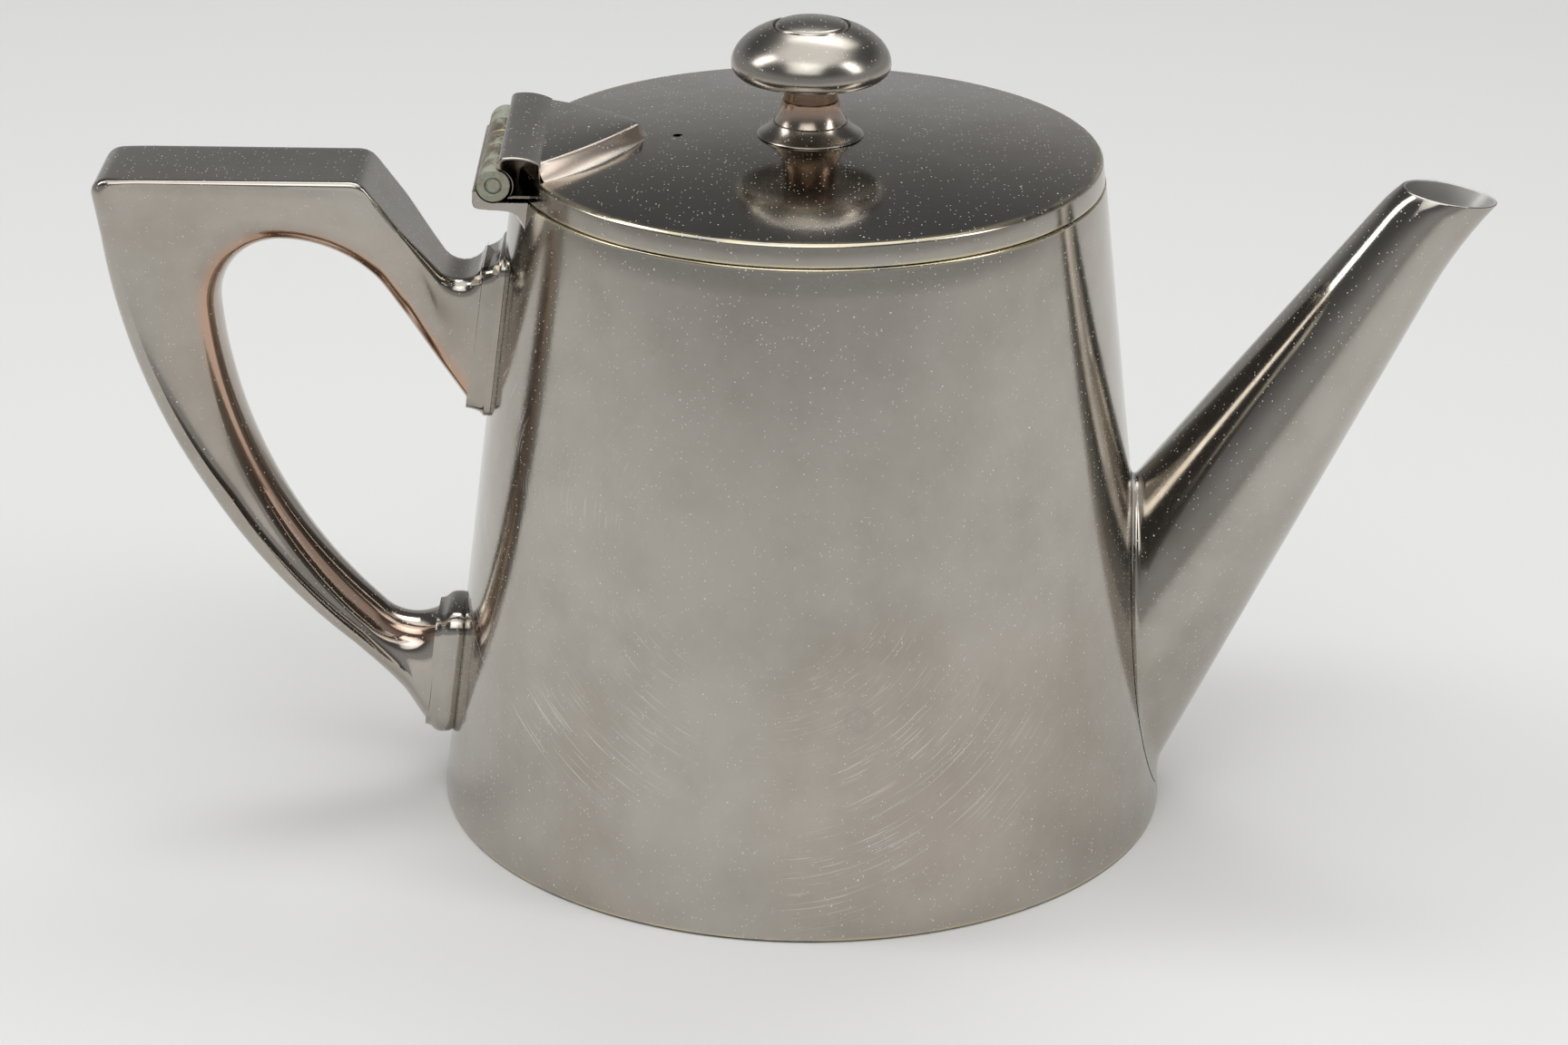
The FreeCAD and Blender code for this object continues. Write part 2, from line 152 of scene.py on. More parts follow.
# Plate finish
SILVER = (0.48, 0.452, 0.408, 1)
TARNISH = (0.255, 0.225, 0.18, 1)
PINK = (0.47, 0.375, 0.325, 1)
COPPER = (0.62, 0.36, 0.235, 1)
# straw of worn edges, also a painted edge highlight
STRAW_WEAR_AND_HIGHLIGHT = (0.68, 0.60, 0.42, 1)
DUST = (0.78, 0.77, 0.74, 1)
DULL = (0.50, 0.485, 0.45, 1)
LINING = (0.60, 0.60, 0.58, 1)
# painted shade: dark colour laid where a piece is marked 'shade'
PAINTED_SHADE = (0.10, 0.075, 0.055, 1)
VERDIGRIS = (0.36, 0.385, 0.31, 1)
OLD_BRASS = (0.36, 0.30, 0.205, 1)
FLOOR_COLOUR = (0.78, 0.78, 0.77, 1)

# Room
FLOOR_HALF = 4000.0
FLOOR_DROP = 0.2
HORIZON_GLOW = (0.62, 0.62, 0.63, 1)
UPPER_GLOW = (0.15, 0.15, 0.155, 1)
OVERHEAD_GLOW = (2.2, 2.2, 2.2, 1)
ROOM_STRENGTH = 0.65
BOX_SPREAD = math.radians(68.0)

SEGMENTS = 256


# Node trees

class Wire:
    """An output socket of a node tree. Arithmetic on it adds Math nodes to the tree."""

    def __init__(self, socket):
        self.socket = socket

    def node(self, kind, settings=None, inputs=None, output=0):
        return add_node(self.socket.id_data, kind, settings, inputs, output)

    def twin(self, name):
        """Another output of the same node."""
        return Wire(self.socket.node.outputs[name])

    def math(self, operation, *values):
        return self.node("ShaderNodeMath", {"operation": operation}, dict(enumerate(values)))

    def __add__(self, other):
        return self.math("ADD", self, other)

    def __radd__(self, other):
        return self.math("ADD", other, self)

    def __sub__(self, other):
        return self.math("SUBTRACT", self, other)

    def __rsub__(self, other):
        return self.math("SUBTRACT", other, self)

    def __mul__(self, other):
        return self.math("MULTIPLY", self, other)

    def __rmul__(self, other):
        return self.math("MULTIPLY", other, self)

    def __truediv__(self, other):
        return self.math("DIVIDE", self, other)

    def __rtruediv__(self, other):
        return self.math("DIVIDE", other, self)

    def __pow__(self, other):
        return self.math("POWER", self, other)

    def __lt__(self, other):
        return self.math("LESS_THAN", self, other)

    def __gt__(self, other):
        return self.math("GREATER_THAN", self, other)

    def __abs__(self):
        return self.math("ABSOLUTE", self)

    def over(self, low, high, start=0.0, end=1.0):
        """Smooth step: start below low, end above high."""
        return self.node("ShaderNodeMapRange", {"interpolation_type": "SMOOTHSTEP"}, {
            "Value": self, "From Min": low, "From Max": high, "To Min": start, "To Max": end})

    def blend(self, first, second):
        """Colour between two colours, with this value as the share of the second."""
        return self.node("ShaderNodeMix", {"data_type": "RGBA"}, {0: self, 6: first, 7: second}, 2)


def add_node(tree, kind, settings=None, inputs=None, output=0):
    """Adds one node with its settings, then its socket values or links, and gives one output."""
    made = tree.nodes.new(kind)
    for name, value in (settings or {}).items():
        setattr(made, name, value)
    for name, value in (inputs or {}).items():
        socket = made.inputs[name]
        if isinstance(value, Wire):
            tree.links.new(value.socket, socket)
        else:
            socket.default_value = value
    return Wire(made.outputs[output]) if made.outputs else None


def new_tree(name, sockets):
    """Geometry tree with named inputs, as a tree and its input wires."""
    tree = bpy.data.node_groups.new(name, "GeometryNodeTree")
    for label, kind in sockets:
        tree.interface.new_socket(label, in_out="INPUT", socket_type=kind)
    tree.interface.new_socket("Piece", in_out="OUTPUT", socket_type="NodeSocketGeometry")
    start = tree.nodes.new("NodeGroupInput")
    return tree, {label: Wire(start.outputs[label]) for label, _ in sockets}


def end_tree(tree, piece, finish):
    """Realize Instances and Set Material close every tree."""
    real = piece.node("GeometryNodeRealizeInstances", None, {"Geometry": piece})
    dressed = piece.node("GeometryNodeSetMaterial", None, {"Geometry": real, "Material": finish})
    add_node(tree, "NodeGroupOutput", None, {"Piece": dressed})


def turned_tree():
    """Turns a profile, given as a row of points in the XZ plane, round the Z axis."""
    tree, given = new_tree("turned_piece", [
        ("Profile", "NodeSocketGeometry"), ("Segments", "NodeSocketInt"), ("Finish", "NodeSocketMaterial")])
    profile, segments = given["Profile"], given["Segments"]
    count = profile.node("GeometryNodeAttributeDomainSize", None, {"Geometry": profile})
    grid = profile.node("GeometryNodeMeshGrid", None, {
        "Size X": 1.0, "Size Y": 1.0, "Vertices X": segments + 1, "Vertices Y": count})
    index = profile.node("GeometryNodeInputIndex")
    row = index.math("MODULO", index, count)
    turn = index.math("FLOOR", (index + 0.5) / count) * (2 * math.pi) / segments
    position = profile.node("GeometryNodeInputPosition")
    point = profile.node("GeometryNodeSampleIndex", {"data_type": "FLOAT_VECTOR"}, {
        "Geometry": profile, "Value": position, "Index": row})
    parts = point.node("ShaderNodeSeparateXYZ", None, {0: point})
    place = point.node("ShaderNodeCombineXYZ", None, {
        "X": parts * turn.math("COSINE", turn), "Y": parts * turn.math("SINE", turn), "Z": parts.twin("Z")})
    surface = grid.node("GeometryNodeSetPosition", None, {"Geometry": grid, "Position": place})
    closed = grid.node("GeometryNodeMergeByDistance", None, {"Geometry": surface, "Distance": 1e-6})
    end_tree(tree, closed, given["Finish"])
    return tree


def pierced_tree():
    """Drills staggered round holes, inside an oval, along X through a wall."""
    tree, given = new_tree("pierced_piece", [
        ("Wall", "NodeSocketGeometry"), ("Hole Radius", "NodeSocketFloat"), ("Pitch", "NodeSocketFloat"),
        ("Half Width", "NodeSocketFloat"), ("Half Height", "NodeSocketFloat"), ("Place", "NodeSocketVector"),
        ("Depth", "NodeSocketFloat"), ("Finish", "NodeSocketMaterial")])
    pitch, wide, high = given["Pitch"], given["Half Width"], given["Half Height"]
    rows = 13
    columns = 7
    drill_sides = 20
    row_step = pitch * math.sqrt(0.75)
    grid = pitch.node("GeometryNodeMeshGrid", None, {
        "Size X": 1.0, "Size Y": 1.0, "Vertices X": columns, "Vertices Y": rows})
    index = pitch.node("GeometryNodeInputIndex")
    row = index.math("MODULO", index, float(rows)) - (rows // 2)
    column = index.math("FLOOR", (index + 0.5) / float(rows)) - (columns // 2)
    odd = row.math("PINGPONG", row, 1.0)
    across = (column + odd * 0.5) * pitch
    up = row * row_step
    place = pitch.node("ShaderNodeCombineXYZ", None, {"X": 0.0, "Y": across, "Z": up})
    spots = grid.node("GeometryNodeSetPosition", None, {"Geometry": grid, "Position": place})
    outside = (across / wide) ** 2.0 + (up / high) ** 2.0 > 1.0
    spots = spots.node("GeometryNodeDeleteGeometry", None, {"Geometry": spots, "Selection": outside})
    drill = spots.node("GeometryNodeMeshCylinder", {"fill_type": "NGON"}, {
        "Vertices": drill_sides, "Radius": given["Hole Radius"], "Depth": given["Depth"]})
    drills = spots.node("GeometryNodeInstanceOnPoints", None, {
        "Points": spots, "Instance": drill, "Rotation": (0.0, math.pi / 2, 0.0)})
    drills = drills.node("GeometryNodeRealizeInstances", None, {"Geometry": drills})
    drills = drills.node("GeometryNodeSetPosition", None, {"Geometry": drills, "Offset": given["Place"]})
    cut = drills.node("GeometryNodeMeshBoolean", {"operation": "DIFFERENCE"}, {
        "Mesh 1": given["Wall"], "Mesh 2": drills})
    end_tree(tree, cut, given["Finish"])
    return tree


def knuckle_tree():
    """Row of hinge tubes: one turned tube, copied to points along Y."""
    tree, given = new_tree("knuckle_row", [
        ("Tube", "NodeSocketGeometry"), ("Count", "NodeSocketInt"), ("First", "NodeSocketVector"),
        ("Step", "NodeSocketVector"), ("Finish", "NodeSocketMaterial")])
    spots = given["Tube"].node("GeometryNodeMeshLine", None, {
        "Count": given["Count"], "Start Location": given["First"], "Offset": given["Step"]})
    row = spots.node("GeometryNodeInstanceOnPoints", None, {"Points": spots, "Instance": given["Tube"]})
    end_tree(tree, row, given["Finish"])
    return tree


def placed(name, data):
    """Object in the scene for a mesh, a lamp or a camera."""
    made = bpy.data.objects.new(name, data)
    bpy.context.scene.collection.objects.link(made)
    return made


def settled(host):
    """Plain mesh of an object with its modifiers worked in; the object itself goes."""
    bpy.context.view_layer.update()
    made = bpy.data.meshes.new_from_object(host.evaluated_get(bpy.context.evaluated_depsgraph_get()))
    host.modifiers.clear()
    bpy.data.objects.remove(host)
    return made


def grown(name, mesh, tree, values):
    """Plain mesh that a geometry tree makes of a start mesh and its named values."""
    start = placed(name, mesh)
    modifier = start.modifiers.new(tree.name, "NODES")
    modifier.node_group = tree
    for item in tree.interface.items_tree:
        if item.in_out == "INPUT" and item.name in values:
            modifier[item.identifier] = values[item.name]
    made = settled(start)
    made.name = name
    return made


# Mesh helpers

def mesh_of(name, points, faces, edges=()):
    """Mesh of points in millimetres."""
    mesh = bpy.data.meshes.new(name)
    mesh.from_pydata([Vector(p) * MM for p in points], edges, faces)
    mesh.update()
    return mesh


def tidy(mesh, sharp_degrees=32):
    """Closes seams, turns faces outwards and keeps only real edges sharp."""
    work = bmesh.new()
    work.from_mesh(mesh)
    bmesh.ops.remove_doubles(work, verts=work.verts, dist=2e-6)
    bmesh.ops.dissolve_degenerate(work, edges=work.edges, dist=1e-7)
    bmesh.ops.recalc_face_normals(work, faces=work.faces)
    work.to_mesh(mesh)
    work.free()
    mesh.shade_smooth()
    mesh.set_sharp_from_angle(angle=math.radians(sharp_degrees))
    return mesh


def show(name, mesh, body, slot, finish, *replaced):
    """Puts a finished mesh in the scene on its body, in place of the nodes it stands for."""
    mesh.materials.clear()
    mesh.materials.append(finish)
    piece = placed(name, mesh)
    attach(piece, body)
    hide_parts(*replaced)


def arc_points(start, end, sag, steps):
    """Points of an arc in a plane; its middle stands off the chord, to the right, by sag."""
    start, end = Vector(start), Vector(end)
    chord = end - start
    aside = Vector((chord.y, -chord.x)).normalized()
    half = chord.length / 2
    radius = (half ** 2 + sag ** 2) / (2 * abs(sag))
    side = math.copysign(1, sag)
    centre = (start + end) / 2 + aside * (sag - side * radius)
    sweep = 2 * math.asin(min(1, half / radius))
    out = []
    for i in range(steps + 1):
        turn = sweep * (i / steps - 0.5)
        out.append(centre + aside * side * radius * math.cos(turn)
                   + chord.normalized() * radius * math.sin(turn))
    return out


def round_corner(before, corner, after, radius, steps=4):
    """Points of a small round in place of one corner of an outline."""
    before, corner, after = Vector(before), Vector(corner), Vector(after)
    back, ahead = before - corner, after - corner
    reach = min(radius, back.length * 0.45, ahead.length * 0.45)
    first, last = corner + back.normalized() * reach, corner + ahead.normalized() * reach
    return [first * (1 - t) ** 2 + corner * 2 * t * (1 - t) + last * t ** 2
            for t in (k / steps for k in range(steps + 1))]


def rounded(corners, radius):
    """Closed row of (radius, height) corners, each with a small round, save those on the axis."""
    out = []
    for before, corner, after in zip(corners[-1:] + corners[:-1], corners, corners[1:] + corners[:1]):
        on_axis = corner[0] < 1e-6
        out.extend([Vector(corner)] if on_axis else round_corner(before, corner, after, radius))
    return out


TURNED = turned_tree()
PIERCED = pierced_tree()
KNUCKLES = knuckle_tree()


def turned_mesh(name, profile, finish, segments=SEGMENTS):
    """Turned piece from a closed profile of (radius, height) in millimetres."""
    loop = [(p[0], 0, p[1]) for p in profile]
    if profile[0][0] > 1e-6 or profile[-1][0] > 1e-6:
        loop.append(loop[0])
    row = mesh_of(name, loop, [], [(i, i + 1) for i in range(len(loop) - 1)])
    return tidy(grown(name, row, TURNED, {"Segments": segments, "Finish": finish}))


def ring_radius(node, height):
    """Largest radius of a node at a height in millimetres."""
    return max(math.hypot(v.co.x, v.co.y) for v in nodes[node].data.vertices
               if abs(v.co.z - height * MM) < 0.02 * MM) / MM


def low(node):
    """Lower corner of a node's box in millimetres."""
    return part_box(node)[0] / MM


def high(node):
    """Upper corner of a node's box in millimetres."""
    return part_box(node)[1] / MM


# Sizes read from the frame
BODY_HEIGHT = high("body_shell").z
BASE_RADIUS = high("body_shell").x
MOUTH_RADIUS = ring_radius("body_shell", BODY_HEIGHT)
BODY_WALL = BASE_RADIUS - high("base_disc").x
LID_SEAT = low("lid_shell").z
LID_TOP = high("lid_shell").z
LID_RADIUS = high("lid_shell").x
HINGE_X = (low("hinge_pin").x + high("hinge_pin").x) / 2
HINGE_Z = (low("hinge_pin").z + high("hinge_pin").z) / 2
PIN_RADIUS = (high("hinge_pin").x - low("hinge_pin").x) / 2
BARREL_RADIUS = (high("body_knuckle_near").x - low("body_knuckle_near").x) / 2
HALF_HINGE = high("hinge_pin").y
HINGE_PLACE = Matrix.Translation(Vector((HINGE_X, 0, HINGE_Z)) * MM) @ Matrix.Rotation(math.pi / 2, 4, "X")
HOOD_MIDDLE = Vector((HOOD_SHOULDER - 2.2, HINGE_Z + 1.0))
UPPER_PAD = high("upper_handle_socket").y - PAD_MARGIN
LOWER_PAD = high("lower_handle_socket").y - PAD_MARGIN
KNOB_RADIUS = high("knob_head").x
KNOB_UNDERSIDE = low("knob_head").z
KNOB_TOP = high("knob_cap").z


def wall_radius(height):
    """Radius of the body's outside at a height."""
    return BASE_RADIUS + (MOUTH_RADIUS - BASE_RADIUS) * height / BODY_HEIGHT


def wall_reach(height, aside):
    """How far the body's outside stands from the YZ plane at a height and a place along Y."""
    return math.sqrt(wall_radius(height) ** 2 - aside ** 2)


SPOUT_AXIS = Vector((math.cos(SPOUT_ANGLE), 0, math.sin(SPOUT_ANGLE)))
SPOUT_ROOT = Vector((wall_radius(SPOUT_ROOT_HEIGHT), 0, SPOUT_ROOT_HEIGHT))


# Finishes

def finish_start(name):
    """New material, its emptied tree and the place on the piece that its patterns follow."""
    material = bpy.data.materials.new(name)
    material.use_nodes = True
    tree = material.node_tree
    tree.nodes.clear()
    spot = add_node(tree, "ShaderNodeTexCoord", None, None, "Object")
    return material, tree, spot


def finish_end(tree, inputs):
    """Closes a material with its surface."""
    surface = add_node(tree, "ShaderNodeBsdfPrincipled", None, inputs)
    add_node(tree, "ShaderNodeOutputMaterial", None, {"Surface": surface})


def noise(spot, scale, detail=3.0, rough=0.55):
    """Cloudy pattern."""
    return spot.node("ShaderNodeTexNoise", None, {
        "Vector": spot, "Scale": scale, "Detail": detail, "Roughness": rough})


def specks(spot, scale, size, share):
    """Small round spots, one in some of the cells of a random net."""
    cells = spot.node("ShaderNodeTexVoronoi", None, {"Vector": spot, "Scale": scale})
    lucky = cells.node("ShaderNodeSeparateColor", None, {"Color": cells.twin("Color")})
    return cells.over(size * 0.6, size, 1.0, 0.0) * (lucky < share)


def bumped(relief, strength, depth):
    """Surface direction that a relief roughens."""
    return relief.node("ShaderNodeBump", None, {"Strength": strength, "Distance": depth, "Height": relief})


def marked(tree, name):
    """Share that is written on a piece's own points."""
    return add_node(tree, "ShaderNodeAttribute", {"attribute_name": name}, None, "Fac")


def worn_and_highlit_edges(parts, mottle, heights, radius):
    """Broken line of wear along round edges at some heights, near and outside a radius; its straw colour is
    also a painted edge highlight.
    """
    edge = mottle * 0.0
    for height in heights:
        near = abs(parts.twin("Z") - height * MM)
        edge = edge + near.over(0.12 * MM, 0.6 * MM, 1.0, 0.0)
    reach = (parts * parts + parts.twin("Y") * parts.twin("Y")) ** 0.5
    return edge * mottle.over(0.34, 0.52) * reach.over((radius - 1.5) * MM, (radius - 0.9) * MM)


def water_spots(parts, mottle):
    """Two dull rings that drops of water left on the front of the body."""
    spots = 0.0
    for x, z, size in ((7.0, 30.0, 1.8), (9.8, 12.5, 1.3)):
        across, up = parts - x * MM, parts.twin("Z") - z * MM
        away = (across * across + up * up) ** 0.5 + (mottle - 0.5) * 1.6 * MM
        ring = away.over(size * 0.55 * MM, size * MM, 0.35, 1.0)
        spots = ring * away.over(size * MM, size * 1.15 * MM, 1.0, 0.0) + spots
    return spots * (parts.twin("Y") < 0.0)


def rubbed_arcs(spot, centre_x, centre_z):
    """Fine broken polishing marks that run round a centre on the front of the body."""
    parts = spot.node("ShaderNodeSeparateXYZ", None, {0: spot})
    across, up = parts - centre_x * MM, parts.twin("Z") - centre_z * MM
    reach = (across * across + up * up) ** 0.5
    turn = up.math("ARCTAN2", up, across)
    lane = spot.node("ShaderNodeCombineXYZ", None, {"X": reach * 3800.0, "Y": turn * 4.0, "Z": 0.0})
    marks = noise(lane, 1.0, 2.0, 0.6).over(0.57, 0.68)
    patch = noise(spot, 34.0, 2.0).over(0.44, 0.62)
    band = reach.over(0.012, 0.024) * reach.over(0.040, 0.058, 1.0, 0.0)
    lower_left = (across * 0.7 + up).over(-0.014, 0.010, 1.0, 0.12)
    return marks * patch * band * lower_left


def silver_plate(name, edge_heights=(), edge_radius=0.0, scuffed=False, tarnish=0.55):
    """Worn silver plate: cloudy tarnish, fine rubbing, dust, straw-coloured worn edges that are also painted
    edge highlights, and painted shade where a piece is marked.
    """
    material, tree, spot = finish_start(name)
    parts = spot.node("ShaderNodeSeparateXYZ", None, {0: spot})
    cloud = noise(spot, 21.0, 4.0, 0.6)
    mottle = noise(spot, 150.0, 4.0, 0.62)
    grain = noise(spot, 1500.0, 2.0, 0.6)
    stain = (cloud * 0.75 + mottle * 0.25).over(0.34, 0.74) * tarnish
    blush = noise(spot, 12.0, 2.0).over(0.46, 0.76) * 0.3
    worn, lining = marked(tree, "wear"), marked(tree, "lining")
    satin, shade = marked(tree, "satin"), marked(tree, "shade")
    edge = worn_and_highlit_edges(parts, mottle, edge_heights, edge_radius)
    dust = specks(spot, 1800.0, 0.2, 0.4) + specks(spot, 600.0, 0.1, 0.35)
    colour = stain.blend(SILVER, TARNISH)
    colour = blush.blend(colour, PINK)
    # straw-coloured edges: part wear, part painted edge highlight
    colour = (edge * 0.8).blend(colour, STRAW_WEAR_AND_HIGHLIGHT)
    colour = (worn * (0.6 + 0.4 * mottle)).blend(colour, COPPER)
    colour = (dust * 0.75).blend(colour, DUST)
    colour = (lining * (0.7 + 0.3 * mottle)).blend(colour, LINING)
    # painted shade: darkens the points marked 'shade'
    colour = (shade * 0.9).blend(colour, PAINTED_SHADE)
    roughness = 0.055 + 0.09 * mottle + 0.09 * stain + 0.25 * dust
    roughness = roughness + 0.08 * edge + 0.34 * lining + 0.2 * satin
    relief = grain * 0.35 + mottle * 0.3 + dust * 0.5
    if scuffed:
        arcs = rubbed_arcs(spot, -6.0, 52.0)
        spots = water_spots(parts, mottle)
        colour = (arcs * 0.6 + spots * 0.14).blend(colour, DUST)
        roughness = roughness + 0.22 * arcs + 0.3 * spots
        relief = relief + arcs * 0.9
    finish_end(tree, {
        "Base Color": colour, "Metallic": 1.0 - dust * 0.8 - lining * 0.45,
        "Roughness": roughness, "Normal": bumped(relief, 0.06, 0.0002)})
    return material


def dull_plate(name):
    """Unpolished plate of the inside: grey, with brown tea film."""
    material, tree, spot = finish_start(name)
    cloud = noise(spot, 40.0, 4.0)
    grain = noise(spot, 900.0, 3.0)
    film = cloud.over(0.42, 0.68) * 0.6
    finish_end(tree, {
        "Base Color": film.blend(DULL, TARNISH), "Metallic": 1.0,
        "Roughness": 0.34 + 0.12 * cloud + 0.06 * grain, "Normal": bumped(grain, 0.15, 0.0002)})
    return material


def hinge_metal(name):
    """Old brass of the hinge with pale green verdigris in its gaps."""
    material, tree, spot = finish_start(name)
    cloud = noise(spot, 260.0, 4.0)
    grain = noise(spot, 1900.0, 3.0)
    parts = spot.node("ShaderNodeSeparateXYZ", None, {0: spot})
    ends = abs(parts.twin("Y")).over(8.0 * MM, 14.0 * MM)
    green = (cloud * 0.7 + grain * 0.3 + ends * 0.07).over(0.46, 0.62)
    finish_end(tree, {
        "Base Color": green.blend(OLD_BRASS, VERDIGRIS), "Metallic": 1.0 - 0.85 * green,
        "Roughness": 0.30 + 0.40 * green, "Normal": bumped(green * 0.6 + grain * 0.4, 0.35, 0.0003)})
    return material


plate_body = silver_plate("body_plate", (0.0, BODY_HEIGHT), scuffed=True)
plate_lid = silver_plate("lid_plate", (LID_SEAT, LID_SEAT + RIM_HEIGHT), LID_RADIUS, tarnish=0.65)
plate_plain = silver_plate("plain_plate", tarnish=0.6)
plate_inner = dull_plate("inner_plate")
metal_hinge = hinge_metal("hinge_metal")


def mark(mesh, name, amount):
    """Writes a share from 0 to 1 on each point, from a rule on the point."""
    attribute = mesh.attributes.new(name, "FLOAT", "POINT")
    for item, vertex in zip(attribute.data, mesh.vertices):
        item.value = min(1.0, max(0.0, float(amount(vertex))))
    return mesh


# Body

def body_profile():
    """Foot, outside, lip and inside of the body's wall."""
    rings = 22
    outer = [(wall_radius(BODY_HEIGHT * i / rings), BODY_HEIGHT * i / rings) for i in range(1, rings)]
    inner = [(r - BODY_WALL, z) for r, z in reversed(outer)]
    foot_in, lip_in = (BASE_RADIUS - BODY_WALL, 0.0), (MOUTH_RADIUS - BODY_WALL, BODY_HEIGHT)
    foot = round_corner(foot_in, (BASE_RADIUS, 0.0), outer[0], FOOT_ROUND)
    lip = round_corner(outer[-1], (MOUTH_RADIUS, BODY_HEIGHT), lip_in, LIP_ROUND)
    return foot + outer + lip + [lip_in] + inner + [foot_in]


def make_body():
    """Pierced wall with its lined inside, the flat base and the ring in the mouth."""
    wall = turned_mesh("body_wall", body_profile(), plate_body)
    pierced = grown("body_shell_plate", wall, PIERCED, {
        "Hole Radius": HOLE_RADIUS * MM, "Pitch": HOLE_PITCH * MM,
        "Half Width": STRAINER_HALF_WIDTH * MM, "Half Height": STRAINER_HALF_HEIGHT * MM,
        "Place": SPOUT_ROOT * MM, "Depth": DRILL_LENGTH * MM, "Finish": plate_body})

    def inside(vertex):
        return math.hypot(vertex.co.x, vertex.co.y) / MM < wall_radius(vertex.co.z / MM) - BODY_WALL / 2

    mark(tidy(pierced), "lining", inside)
    show("body_shell_plate", pierced, "pot", "plated_silver", plate_body, "body_shell")
    base = high("base_disc")
    disc = rounded([(0, 0), (base.x, 0), (base.x - BASE_DRAFT, base.z), (0, base.z)], 0.2)
    show("base_plate", turned_mesh("base_plate", disc, plate_plain), "pot", "plated_silver", plate_plain,
         "base_disc")
    make_band("mouth_band", "mouth_ring", "pot", ring_radius("mouth_ring", high("mouth_ring").z))


def make_band(name, node, body, upper):
    """Plain ring that stiffens the mouth or locates the lid, with its radius at the upper edge."""
    bottom, top = low(node).z, high(node).z
    band = turned_mesh(name, rounded([
        (upper - BAND_WALL, bottom), (high(node).x, bottom), (upper, top), (upper - BAND_WALL, top)],
        BAND_ROUND), plate_inner)
    show(name, band, body, "inner_plate", plate_inner, node)


# Lid and knob

def lid_dome(radius):
    """Height of the lid's domed top at a radius."""
    chord = LID_RADIUS - LID_DOME_INSET
    ball = (chord ** 2 + LID_RISE ** 2) / (2 * LID_RISE)
    return LID_TOP - ball + math.sqrt(ball ** 2 - radius ** 2)


def lid_profile():
    """Dome, rim and underside of the lid, from the middle of the top round to the middle below."""
    rings = 24
    edge, shoulder, inside = LID_RADIUS - RIM_LEAN, LID_RADIUS - RIM_STEP, LID_RADIUS - LID_WALL
    dome = [(r, lid_dome(r)) for r in (shoulder * (1 - i / rings) for i in range(rings + 1))]
    under = [(r, z - LID_WALL) for r, z in dome if r < shoulder - LID_WALL]
    rim_top = dome[0][1] - RIM_DROP
    band = round_corner((LID_RADIUS, LID_SEAT), (edge, rim_top), dome[0], 0.2)
    foot = round_corner((inside, LID_SEAT), (LID_RADIUS, LID_SEAT), (edge, rim_top), 0.3)
    return dome[::-1] + band[::-1] + foot[::-1] + [(inside, LID_SEAT), (shoulder - LID_WALL, rim_top)] + under


def make_lid():
    """Domed lid with its vent and a channel for the hinge, and the ring below it."""
    lid = turned_mesh("lid_plain", lid_profile(), plate_lid)
    vent_place = Matrix.Translation(Vector((-VENT_OFFSET, 0, LID_TOP)) * MM)
    vent = drill("vent_drill", VENT_RADIUS, DRILL_LENGTH, vent_place)
    channel = drill("hinge_channel", BARREL_RADIUS + CHANNEL_GAP, 2 * (HALF_HINGE + CHANNEL_GAP), HINGE_PLACE)
    show("lid_plate", cut_by(cut_by(lid, vent), channel), "lid", "plated_silver", plate_lid, "lid_shell")
    make_band("lid_band", "lid_bezel", "lid", high("lid_bezel").x)


def drill(name, radius, length, place):
    """Round bar that stands for the space of a hole, with sizes in millimetres."""
    mesh = bpy.data.meshes.new(name)
    work = bmesh.new()
    bmesh.ops.create_cone(work, cap_ends=True, segments=48, radius1=radius * MM, radius2=radius * MM,
                          depth=length * MM, matrix=place)
    work.to_mesh(mesh)
    work.free()
    return mesh


def cut_by(mesh, tool):
    """Mesh with a tool's space taken out of it."""
    host, blade = placed("host", mesh), placed("blade", tool)
    modifier = host.modifiers.new("cut", "BOOLEAN")
    modifier.object = blade
    modifier.operation = "DIFFERENCE"
    made = settled(host)
    bpy.data.objects.remove(blade)
    return tidy(made)


def make_knob_stem():
    """Flared foot with a ridge, and the thin worn neck above it, with painted shade on the neck under the
    dome.
    """
    foot = low("knob_pillar").z
    seat = lid_dome(STEM_FOOT) + 0.05
    waist = seat + STEM_HEIGHT
    neck_top = KNOB_UNDERSIDE - 0.05
    flange = arc_points((6.95, seat + 0.25), (5.15, seat + 1.75), -0.12, 8)
    ridge = [(5.04, seat + 1.9), (4.92, seat + 1.96), (4.8, seat + 1.92)]
    flare = arc_points(ridge[-1], (NECK_RADIUS + 0.32, waist - 0.1), -0.2, 10)
    neck = [(NECK_RADIUS + 0.24, waist), (NECK_RADIUS, waist + 0.05), (NECK_RADIUS, neck_top), (0, neck_top)]
    profile = [(0, foot), (6.6, foot), (STEM_FOOT, seat), (STEM_FOOT + 0.08, seat + 0.1)]
    profile = profile + flange + ridge + flare[1:] + neck
    stem = turned_mesh("knob_stem", profile, plate_plain, 128)
    mark(stem, "wear", lambda v: (v.co.z / MM - seat - 1.2) / 3.0 * 0.6)
    mark(stem, "satin", lambda v: 0.4)
    # painted shade on the neck, under the overhang of the dome
    mark(stem, "shade", lambda v: 0.45 * (v.co.z / MM > waist + 0.02))
    show("knob_stem", stem, "lid", "worn_plate", plate_plain, "knob_pillar")


def knob_crown(radius):
    """Height of the knob's dome at a radius."""
    rim = KNOB_UNDERSIDE + KNOB_RIM
    return rim + (KNOB_TOP - BUTTON_RISE - rim) * math.sqrt(1 - (radius / KNOB_RADIUS) ** 2)


